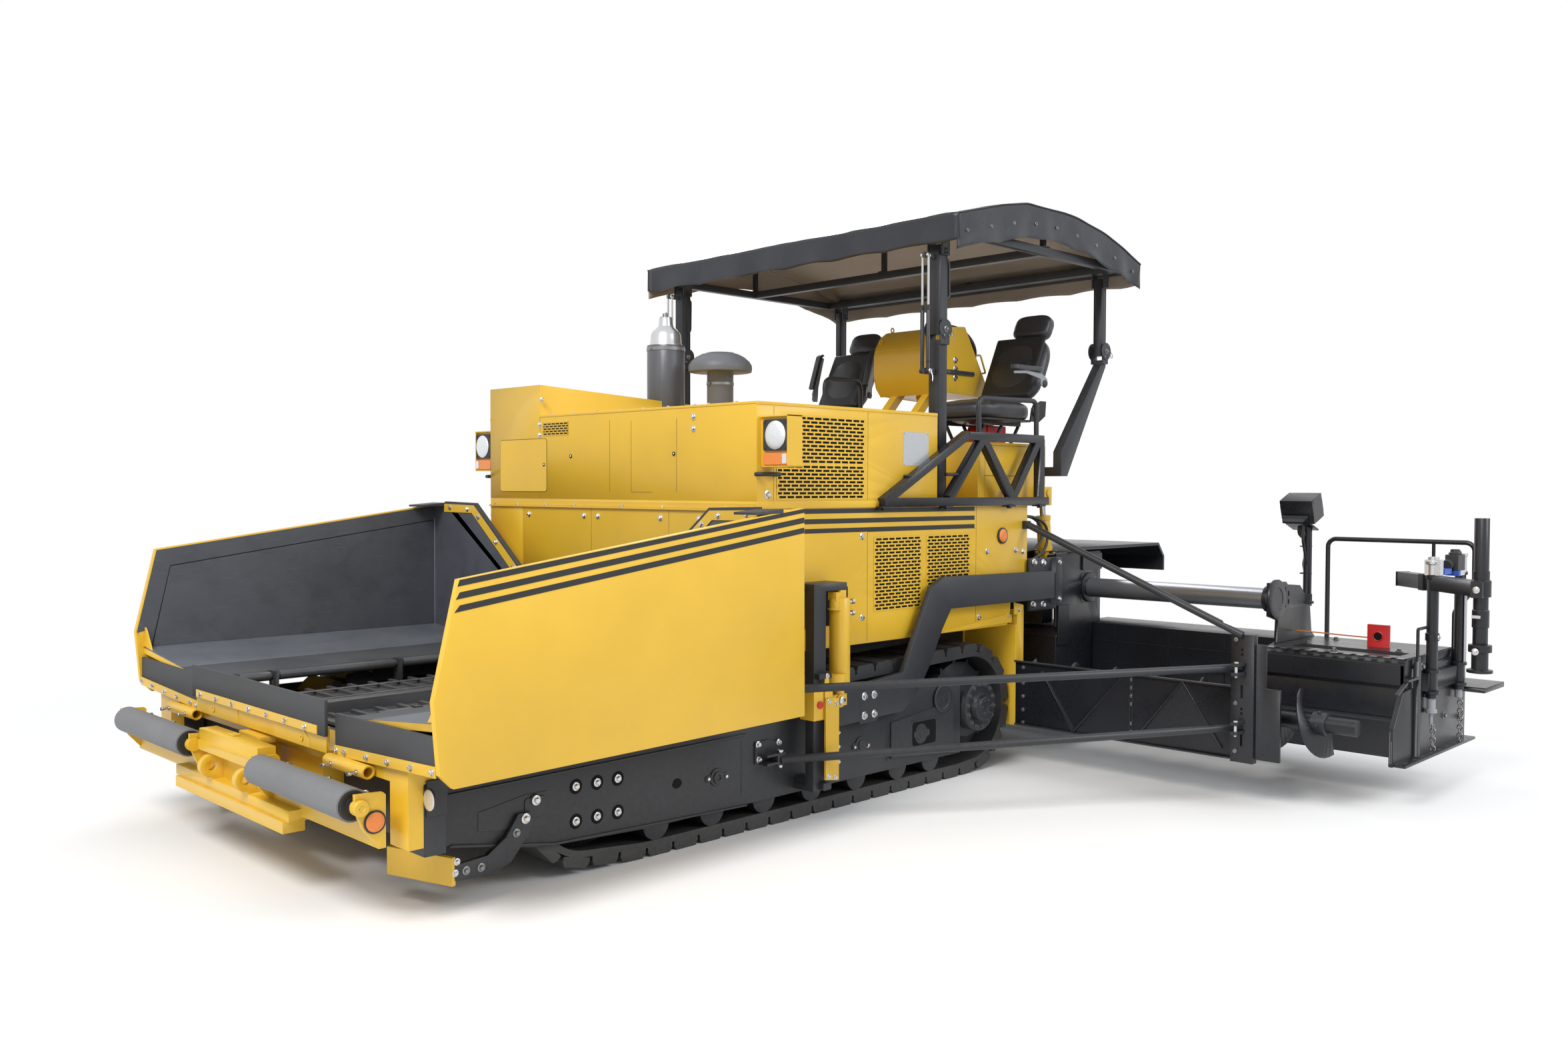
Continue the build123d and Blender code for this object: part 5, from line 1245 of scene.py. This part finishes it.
console_edges = Piece()
curve = [(-1990, 2348), (-1560, 2366), (-1512, 2420), (-1494, 2490), (-1492, 2640), (-1508, 2700), (-1560, 2776),
         (-1620, 2814), (-1762, 2824), (-2036, 2400)]
for y0, y1 in ((494, 506), (-86, -74)):
    console_edges.prism("y", curve, y0, y1)
console_edges.prism("y", [(-1500, 2452), (-1560, 2362), (-1552, 2358), (-1512, 2420), (-1490, 2490), (-1490, 2640),
                          (-1508, 2704), (-1560, 2780), (-1622, 2818), (-1626, 2810), (-1568, 2772), (-1516, 2700),
                          (-1500, 2640), (-1500, 2490)], -74, 494)
console_edges.done("console_shell", "machine", YELLOW, bevel=2)
console_parts = Piece()
for y in (-40, 460):
    console_parts.ring((-1640, y, 2836), LEFT, 15, 5, 18, 8)
    console_parts.box(-1648, -1632, y - 6, y + 6, 2806, 2826)
    console_parts.ring((-1512, y, 2742), LEFT, 13, 4.5, 18, 8)
console_parts.tube([(-1900, 508, 2640), (-1900, 534, 2640), (-1960, 534, 2520), (-1960, 508, 2520)], 7, 14)
console_parts.prism("y", [(-1700, 2372), (-1740, 2300), (-1800, 2362)], 120, 240)
console_parts.done("console_eyes", "machine", YELLOW, bevel=1)
(Piece().bolts([(-1650, 507, 2590), (-1650, 507, 2530), (-1650, 507, 2470)], LEFT, 24)
 .bolts([(-1650, -87, 2590), (-1650, -87, 2530), (-1650, -87, 2470)], RIGHT, 24)
 .done("console_bolts", "machine", CHROME, bevel=0))

face_way = Vector((-(2820 - 2400), 0, (2030 - 1760))).normalized()


def on_console(distance, y, out):
    """A point on the console's driver side: down it from the top edge, across it and out of it."""
    along = Vector((-270, 0, -420)).normalized()
    return Vector((-1762, y, 2822)) + along * distance + face_way * out


dash = Piece()
for d0, d1, y0, y1 in ((30, 470, -60, 150), (30, 130, 170, 480), (330, 470, 170, 480)):
    ring_low = [on_console(d, y, -2) for d, y in ((d0, y0), (d1, y0), (d1, y1), (d0, y1))]
    ring_high = [on_console(d, y, 5) for d, y in ((d0 + 4, y0 + 4), (d1 - 4, y0 + 4), (d1 - 4, y1 - 4),
                                                  (d0 + 4, y1 - 4))]
    dash.rings([ring_low, ring_high])
dash.done("console_panels", "machine", DARK, bevel=1)
knobs = Piece()
for row in range(4):
    for column in range(4):
        at = on_console(80 + row * 100, -34 + column * 52, 4)
        knobs.lathe(at, face_way, [(0, 15), (8, 15), (10, 11), (22, 10), (24, 7)], 14)
for column in range(4):
    knobs.lathe(on_console(80, 205 + column * 72, 4), face_way, [(0, 27), (10, 27), (12, 22)])
knobs.done("console_controls", "machine", PLASTIC, bevel=0.5)
lamps_small = Piece()
for column in range(6):
    lamps_small.dome(on_console(400, 195 + column * 50, 6), face_way, 9)
lamps_small.done("console_lamps", "machine", AMBER, bevel=0)
levers = Piece()
for y in (-30, 40, 110):
    levers.tube([on_console(430, y, 0), on_console(420, y, 60), on_console(390, y, 110)], 6, 14)
    levers.lathe(on_console(392, y, 104), on_console(380, y, 130) - on_console(392, y, 104),
                 [(0, 10), (8, 17), (24, 19), (38, 13), (42, 5)], 18)
levers.done("console_levers", "machine", PLASTIC, bevel=0)

(Piece().plate_round("y", (-1520, 1640, -1110, 1985), 8, 1150, 1153.5).box(-1650, -1050, 1149, 1156, 1988, 2004)
 .plate_round("y", (-1100, 1650, -1050, 1980), 6, 1150, 1153)
 .plate_round("z", (-1880, 382, -1042, 1078), 10, 1999, 2004).both("seat_box_panels", YELLOW))
(Piece().plate_round("y", (-1330, 1776, -1290, 1826), 6, 1153, 1160)
 .lathe((-1310, 1160, 1801), LEFT, [(0, 12), (5, 12), (7, 8)], 16)
 .tube([(-1610, 1153, 1940), (-1610, 1176, 1940), (-1540, 1176, 1940), (-1540, 1153, 1940)], 6, 10)
 .both("seat_box_latches", YELLOW, bevel=1))
Piece().box(-1520, -1108, 1153.6, 1154.4, 1796, 1800).both("seat_box_seam", SEAM, bevel=0)

for name, y, corners, bend in (("left", 1150, ((-1050, 2004), (-1040, 2272), (-1665, 2283), (-1668, 2004)), 55),
                               ("right", -385, ((-1310, 2004), (-1306, 2498), (-1690, 2502), (-1694, 2004)), 70)):
    (Piece().tube([(x, y, z) for x, z in corners], 16, bend, 14)
     .done(f"grab_rail_{name}", "machine", DARK, bevel=0))

rail_feet = Piece()
for x in (-40, -600, -1230, -1560):
    rail_feet.box(x - 34, x + 34, 1212, 1276, 1606, 1618)
    rail_feet.box(x - 12, x + 12, 1236, 1260, 1596, 1622)
rail_feet.both("railing_feet", BLACK, bevel=2)
(Piece().tube([(-620, 1222, 1800), (-620, 1242, 1800), (-760, 1242, 1800), (-760, 1222, 1800)], 10, 12, 12)
 .both("body_handles", DARK, bevel=0))


# ---------------------------------------------------------------- finishes and painted shade on parts of CAD nodes

def repaint(node, finish, test):
    """Gives the faces of a CAD node that pass a test on centre and normal (metres) a second material: a finish, or
    painted shade.
    """
    item = nodes[node]
    item.data.materials.append(finish)
    slot_number = len(item.data.materials) - 1
    to_frame = item.matrix_world
    turn = to_frame.to_3x3()
    for face in item.data.polygons:
        if test(to_frame @ face.center, turn @ face.normal):
            face.material_index = slot_number


def near_tube(centre, normal):
    off_axis = math.hypot(centre.x - TUBE_X * MM, centre.z - TUBE_Z * MM)
    return 1.24 < abs(centre.y) < 2.499 and off_axis < 0.066


def red_lug(centre, normal):
    return -2.4405 < centre.x < -2.4145 and 2.95 < abs(centre.y) < 3.09 and centre.z > 0.7905


for side in ("left", "right"):
    repaint(f"extension_{side}", SILVER, near_tube)
    repaint(f"screed_end_{side}", RED, red_lug)
    repaint(f"wing_{side}", FLOOR, lambda c, n: abs(c.y) < 0.80 and c.z < 0.80)
    repaint(f"wing_{side}", BED, lambda c, n: 0.80 <= abs(c.y) < 1.566 and c.z < 0.845 and n.z > 0.3)

# Painted shade: the track frames' low inner faces, under the machine, go near-black
repaint("track_frames", PAINTED_SHADE, lambda c, n: c.z < 0.20 and abs(c.y) < 1.21)

# ---------------------------------------------------------------- extension end and its control post

(Piece().lathe((TUBE_X, 2534, TUBE_Z), LEFT, [(0, 119), (4, 119), (6, 114), (6, 70), (3, 66)], 40)
 .lathe((TUBE_X, 2490, TUBE_Z), RIGHT, [(0, 78), (20, 78), (24, 66)], 32)
 .prism("y", [(-2300, 1128), (-2325, 1100), (-2325, 1020), (-2300, 1000), (-2290, 1060)], 2519, 2524)
 .prism("x", [(2500, 700), (2534, 700), (2534, 260), (2500, 260)], -1964, -1954)
 .pair("extension_end_disc", "extension", BLACK))
# Painted shade: near-black fills in the two slots of the end disc
ext_slot_shade = Piece()
for z in (1085, 1035):
    ext_slot_shade.plate_round("y", (-2352, z - 16, -2322, z + 16), 12, 2519.5, 2521)
ext_slot_shade.pair("extension_end_shade", "extension", PAINTED_SHADE, bevel=0)
ext_front = Piece()
for z in (700, 560, 400):
    ext_front.box(-2212, -2206, 1300, 2498, z, z + 10)
for y in (1420, 1800, 2180, 2470):
    ext_front.box(-2212, -2206, y - 4, y + 4, 244, 800)
ext_front.pair("extension_front_edges", "extension", BLACK)

post = Piece()
turn = Matrix.Rotation(math.radians(20), 3, "Y")


def on_box(x, y, z):
    """A point on the tilted control box."""
    spot = turn @ Vector((x, 0, z))
    return (-2590 + spot.x, 2490 + y, 1600 + spot.z)


octagon = ((-76, -40), (-40, -76), (40, -76), (76, -40), (76, 40), (40, 76), (-40, 76), (-76, 40))
for ends in ((-101.5, -97), (97, 101.5)):
    post.rings([[on_box(x, y, z) for x, z in octagon] for y in ends])
post.prism("y", [(-2500, 1540), (-2560, 1500), (-2680, 1460), (-2690, 1468), (-2560, 1512), (-2512, 1556)], 2400,
           2560)
post.tube([(-2575, 2512, 1515), (-2560, 2512, 1400), (-2640, 2512, 1210)], 9, 40)
post.lathe((-2640, 2510, 1004), UP, [(0, 40), (14, 40), (18, 30), (60, 30)], 20)
post.box(-2690, -2600, 2500, 2521, 985, 1060)
post.pair("control_post", "extension", BLACK, bevel=2)
keys = Piece()
for column in range(4):
    for row in range(3):
        start = Vector(on_box(-78, -66 + column * 44, 44 - row * 40))
        keys.lathe(start, turn @ Vector(BACKWARD), [(0, 13), (8, 13), (10, 9), (18, 8)], 14)
keys.pair("control_keys", "extension", PLASTIC, bevel=0.5)
cables = Piece()
for k in range(5):
    shift = k * 13 - 26
    cables.tube([(-2600 + shift * 0.4, 2478 + shift * 0.3, 1520), (-2616 + shift * 0.3, 2478 + shift, 1440),
                 (-2672 + shift * 0.5, 2500 + shift * 0.3, 1380), (-2664 + shift * 0.4, 2480 + shift * 0.5, 1250),
                 (-2676 + shift * 0.5, 2492 + shift * 0.3, 1130), (-2660 + shift * 0.3, 2490, 1015)], 6, 60, 8)
for z in (1360, 1190):
    cables.ring((-2668, 2488, z), UP, 34, 4, 20, 6)
cables.pair("control_cables", "extension", PLASTIC, bevel=0)

# ---------------------------------------------------------------- bolt-on screed, end gate and sensor arm

end = Piece()
end.box(-2738, -2010, 2535, 3322, 789, 794)
end.box(-2010, -1952, 2524, 3326, 764, 770)
end.prism("y", [(-1952, 764), (-1946, 760), (-1946, 652), (-1952, 656)], 2524, 3326)
end.prism("y", [(-1994, 630), (-1986, 600), (-1986, 470), (-1994, 460)], 2524, 3328)
end.prism("y", [(-1994, 452), (-1984, 440), (-1984, 250), (-1994, 244)], 2524, 3328)
for y in (2524, 3310):
    end.prism("y", [(-1950, 655), (-1946, 655), (-1946, 770), (-1950, 770)], y, y + 18)
end.prism("y", [(-2060, 735), (-2056, 745), (-2915, 745), (-2915, 735)], 3328, 3347)
end.prism("y", [(-1742, 445), (-1738, 445), (-1738, 242), (-1742, 242)], 3326, 3349)
end.prism("y", [(-1870, 624), (-1740, 447), (-1746, 442), (-1876, 618)], 3326, 3350)
end.box(-2070, -1890, 3345, 3372, 682, 694)
end.prism("y", [(-1896, 682), (-1760, 630), (-1764, 622), (-1900, 672)], 3346, 3366)
end.tube([(-2055, 3360, 780), (-2055, 3360, 955), (-2300, 3360, 955), (-2300, 3360, 800)], 9, 10, 8)
end.lathe((-2128, 3345, 744), LEFT, [(0, 22), (10, 22), (14, 14)], 18)
for x in GATE_RODS:
    end.lathe((x, GATE_Y, 702), UP, [(0, 42), (16, 42), (20, 34)], 22)
    end.lathe((x, GATE_Y, 600), DOWN, [(0, 42), (16, 42), (20, 34)], 22)
    end.lathe((x, GATE_Y, 1226), UP, [(0, 38), (18, 38), (24, 30)], 22)
end.lathe((GATE_RODS[0], GATE_Y, 880), UP, [(0, 36), (40, 36), (44, 31)], 22)
end.pair("gate_edges", "extension", BLACK)
# Painted shade: a near-black sheet in the end box's recess
(Piece().prism("z", [(-2130, 2640), (-2110, 3250), (-2250, 3250), (-2270, 2640)], 794, 795.2)
 .pair("end_box_shade_fill", "extension", PAINTED_SHADE, bevel=0))
end_light = Piece()
end_light.box(-1738.5, -1737.4, 3331, 3334, 262, 430)
end_light.box(-1738.5, -1737.4, 3339, 3342, 262, 380)
for k in range(11):
    end_light.box(-2002, -1962, 2560 + k * 72, 2598 + k * 72, 794, 795.4)
for k in range(9):
    end_light.box(-2900 + k * 130, -2850 + k * 130, 3376, 3384, 254.5, 255.8)
end_light.pair("end_box_marks", "extension", STEEL, bevel=0)
(Piece()
 .bolts([(-2540, 3345, 640), (-2540, 3345, 420), (-2840, 3345, 640), (-2840, 3345, 380), (-2128, 3359, 744)], LEFT,
        22).bolts([(-2300, 2660, 795), (-2080, 2900, 795), (-2300, 3180, 795), (-2620, 2700, 795)], UP, 22)
 .pair("end_box_bolts", "extension", STEEL, bevel=0))

# Painted shade: near-black discs filling the hole in the red lug
(Piece().lathe((-2414, *LUG_AT), FORWARD, [(0, 23), (1.2, 23)], 26)
 .lathe((-2441, *LUG_AT), BACKWARD, [(0, 23), (1.2, 23)], 26).pair("lug_shade_fill", "extension", PAINTED_SHADE, bevel=0))
Piece().ring((-2414, *LUG_AT), FORWARD, 26, 3.5, 26, 8).pair("lug_rim", "extension", RED, bevel=0)

(Piece().lathe((GATE_RODS[0], GATE_Y, 562), DOWN, [(0, 22), (60, 22), (64, 30), (84, 30), (90, 20)], 18)
 .tube([(GATE_RODS[0], GATE_Y, 474), (GATE_RODS[0], GATE_Y, 405)], 9).box(-2716, -2664, 3371, 3383, 760, 1158)
 .prism("y", [(-2716, 1158), (-2664, 1158), (-2676, 1180), (-2704, 1180)], 3371, 3383)
 .box(-2710, -2668, 3406, 3410, 705, 1150).lathe((GATE_RODS[1], GATE_Y, 562), DOWN, [(0, 20), (50, 20), (54, 12)], 18)
 .pair("gate_screws", "extension", GREY, bevel=1))
chain = Piece()
for x, top in zip(GATE_RODS, (400, 505)):
    count = int((top - 262) / 24)
    for k in range(count + 1):
        z = top - k * 24
        across = FORWARD if k % 2 else LEFT
        chain.ring((x, 3388, z), across, 14, 3.6, 14, 6)
chain.pair("gate_chains", "extension", STEEL, bevel=0)

(Piece().box(-2200, -2260, 3340, 3420, 1242, 1330)
 .lathe((GATE_RODS[0], GATE_Y, 1242), UP, [(0, 34), (60, 34), (64, 44), (80, 44), (84, 30), (104, 28)])
 .box(-2560, -2480, 3380, 3440, 1232, 1262)
 .lathe((-2640, 3400, 1242), UP, [(0, 24), (90, 24), (94, 30), (110, 30)], 20)
 .pair("sensor_bright", "extension", ALLOY, bevel=2))
(Piece().box(-2560, -2440, 3370, 3440, 1262, 1350)
 .lathe((-2500, 3405, 1350), UP, [(0, 34), (10, 34), (14, 26), (30, 24)], 22)
 .lathe((-2400, 3390, 1290), (-1, 0, 0.2), [(0, 30), (90, 30), (96, 22)], 20)
 .tube([(-2540, 3400, 1330), (-2620, 3390, 1370), (-2690, 3385, 1330), (-2690, 3380, 1240)], 7, 40, 8)
 .pair("sensor_dark", "extension", PLASTIC, bevel=3))
(Piece().box(-2400, -2280, 3372, 3420, 1244, 1276).box(-2470, -2440, 3370, 3446, 1232, 1262)
 .pair("sensor_blue", "extension", BLUE, bevel=3))

mast = Piece()
mast.lathe((*MAST_AT, 1160), UP, [(0, 48), (86, 48), (90, 40)], 28)
mast.lathe((*MAST_AT, 1246), UP, [(0, 40), (50, 40)], 28)
mast.lathe((*MAST_AT, 1000), UP, [(0, 41), (90, 41), (94, 37)], 28)
mast.lathe((*MAST_AT, 760), UP, [(0, 35.9), (4, 62), (20, 62), (22, 40), (110, 40), (112, 56), (150, 56), (152, 40)],
           28)
for a in range(4):
    angle = math.pi / 4 + a * math.pi / 2
    x, y = MAST_AT[0] + 44 * math.cos(angle), min(MAST_AT[1] + 24 * math.sin(angle), 3722)
    mast.box(x - 12, x + 12, y - 12, y + 12, 884, 898)
mast.box(-2030, -1870, 3672, 3728, 1158, 1242)
mast.pair("mast_collars", "extension", BLACK, bevel=2)
(Piece().rod((-1900, 3700, 1060), (-1880, 3700, 1060), 8).box(-1882, -1874, 3680, 3720, 1052, 1068)
 .bolts([(-1868, 3700, 1200), (-1868, 3700, 880)], FORWARD).bolts([(-2230, 3410, 900)], LEFT, 16)
 .pair("mast_screws", "extension", CHROME, bevel=1))
arm_caps = Piece()
way = Vector((-1950 + 2480, 3700 - 3130, 0)).normalized()
start = Vector((-2480, 3130, 1200))
arm_side = Vector((way.y, -way.x, 0))
for d0, d1, half in ((250, 300, 46), (0, 6, 42)):
    arm_caps.rings([[tuple(start + way * d + arm_side * s * half + Vector((0, 0, t * half)))
                     for s, t in ((-1, -1), (1, -1), (1, 1), (-1, 1))] for d in (d0, d1)])
arm_caps.pair("sensor_arm_sleeve", "extension", BLACK, bevel=2)


def cord_curve(name, route, radius, resolution, finish, body):
    """A round cord in metres along a soft curve."""
    data = bpy.data.curves.new(name, "CURVE")
    data.dimensions = "3D"
    spline = data.splines.new("NURBS")
    spline.points.add(len(route) - 1)
    for point, at in zip(spline.points, route):
        point.co = (*at, 1)
    spline.order_u = 3
    spline.use_endpoint_u = True
    data.bevel_depth = radius
    data.bevel_resolution = resolution
    data.materials.append(finish)
    cord = show(name, data)
    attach(cord, body)
    return cord


# The thin orange line between the extension and its lug, drawn tight
ORANGE_X = -2.4275
ORANGE_RUN = ((2.537, 0.852), (2.66, 0.8515), (2.80, 0.8475), (2.90, 0.8460), (2.958, 0.8455))
for side, sign in SIDES:
    line = cord_curve(f"orange_line_{side}", [(ORANGE_X, sign * y, z) for y, z in ORANGE_RUN], 0.004, 3, ORANGE,
                      f"extension_{side}")

# ---------------------------------------------------------------- main screed, braces' ends and lift cylinders

screed_bits = Piece()
screed_bits.box(-1900, -1770, 1262 - 12, 1262, 700, 960)
for y in (-1100, -700, 700, 1100):
    screed_bits.box(-1790, -1764, y - 60, y + 60, 300, 700)
for y in (-980, -300, 300, 980):
    screed_bits.plate_round("x", (y - 150, 830, y + 150, 1020), 16, -1900, -1780)
screed_bits.box(-2290, -2060, -1180, -700, 1170, 1290)
screed_bits.box(-2290, -2060, 700, 1180, 1170, 1290)
screed_bits.plate_round("z", (-2290, -560, -1960, 560), 20, 1180, 1296)
screed_bits.done("screed_boxes", "screed", BLACK, bevel=3)
(Piece().lathe((TUBE_X, 1224, TUBE_Z), LEFT, [(0, 98), (40, 98), (46, 72), (46, 67)], 32)
 .prism("y", [(-2240, 960), (-2060, 960), (-2060, 1160), (-2240, 1160)], 1236, 1252)
 .plate_round("y", (-2300, 1176, -2060, 1288), 12, 1230, 1262)
 .both("guide_housing_ends", BLACK, body="screed", bevel=2))
valves = Piece()
for y in (1010, 1075, 1140):
    valves.box(-1950, -1900, y - 22, y + 22, 1262, 1312)
valves.both("valve_blocks", STEEL, body="screed", bevel=2)
valve_bolts = Piece()
for y in (1010, 1075, 1140):
    valve_bolts.bolt((-1900, y, 1290), FORWARD, 17)
valve_bolts.bolts([(-1838, 1200, 1230), (-1838, 1120, 1230)], FORWARD)
valve_bolts.both("valve_bolts", CHROME, body="screed", bevel=0)

ends = Piece()
for z in (752, 436):
    ends.box(-1282, -1190, 2706, 2746, z - 34, z - 16)
    ends.box(-1282, -1190, 2706, 2746, z + 16, z + 34)
ends.both("bracket_lugs", DARK, bevel=2)
end_pins = Piece()
for z in (752, 436):
    end_pins.lathe((-1208, 2726, z + 44), DOWN, [(0, 16), (8, 16), (10, 10), (84, 10), (88, 6)], 16)
end_pins.both("bracket_pins", CHROME, bevel=0)

lift_bits = Piece()
down = Vector((-1785 + 1735, 0, 1250 - 1690)).normalized()
for distance, radius, long in ((150, 49, 26), (352, 49, 24)):
    at = Vector((-1735, 1150, 1690)) + down * distance
    lift_bits.lathe(at, down, [(0, radius), (long, radius), (long + 3, radius - 4)], 26)
lift_bits.both("lift_barrel_ends", YELLOW, body="lift_barrels", bevel=1)

(Piece().lathe((SIDE_LAMP[0], BODY_Y, SIDE_LAMP[1]), LEFT, [(0, 50), (10, 50), (13, 45)], 28)
 .both("side_reflector_rims", PLASTIC, bevel=1))
Piece().dome((SIDE_LAMP[0], 1231, SIDE_LAMP[1]), LEFT, 43, 9).both("side_reflectors", AMBER, bevel=0)

# Black hoses at the body's rear, hanging in a loop from the frame's end back to it
HOSE_X, HOSE_Z = -1.475, 1.54
for side, sign in SIDES:
    for number, (y, drop, reach, long) in enumerate(((1.190, 0.22, 0.17, 0.50), (1.206, 0.28, 0.21, 0.62))):
        bow = HOSE_X - reach
        route = [(HOSE_X, y, HOSE_Z), (-1.54, y, 1.545), (bow, y + 0.004, 1.50), (bow - 0.03, y + 0.01, 1.42),
                 (bow, y + 0.006, HOSE_Z - drop * 0.8), (-1.56, y, HOSE_Z - drop), (HOSE_X, y, HOSE_Z - drop + 0.005)]
        hose = cord_curve(f"rear_hose_{number}_{side}", [(x, sign * py, z) for x, py, z in route], 0.009, 4, PLASTIC,
                          "machine")

# ---------------------------------------------------------------- conveyor

slats = Piece()
for sign in (-1, 1):
    for y in (300, 560):
        slats.box(-1200, 2620, sign * y - 14, sign * y + 14, 655, 663)
slats.done("conveyor_chains", "machine", STEEL, bevel=2)
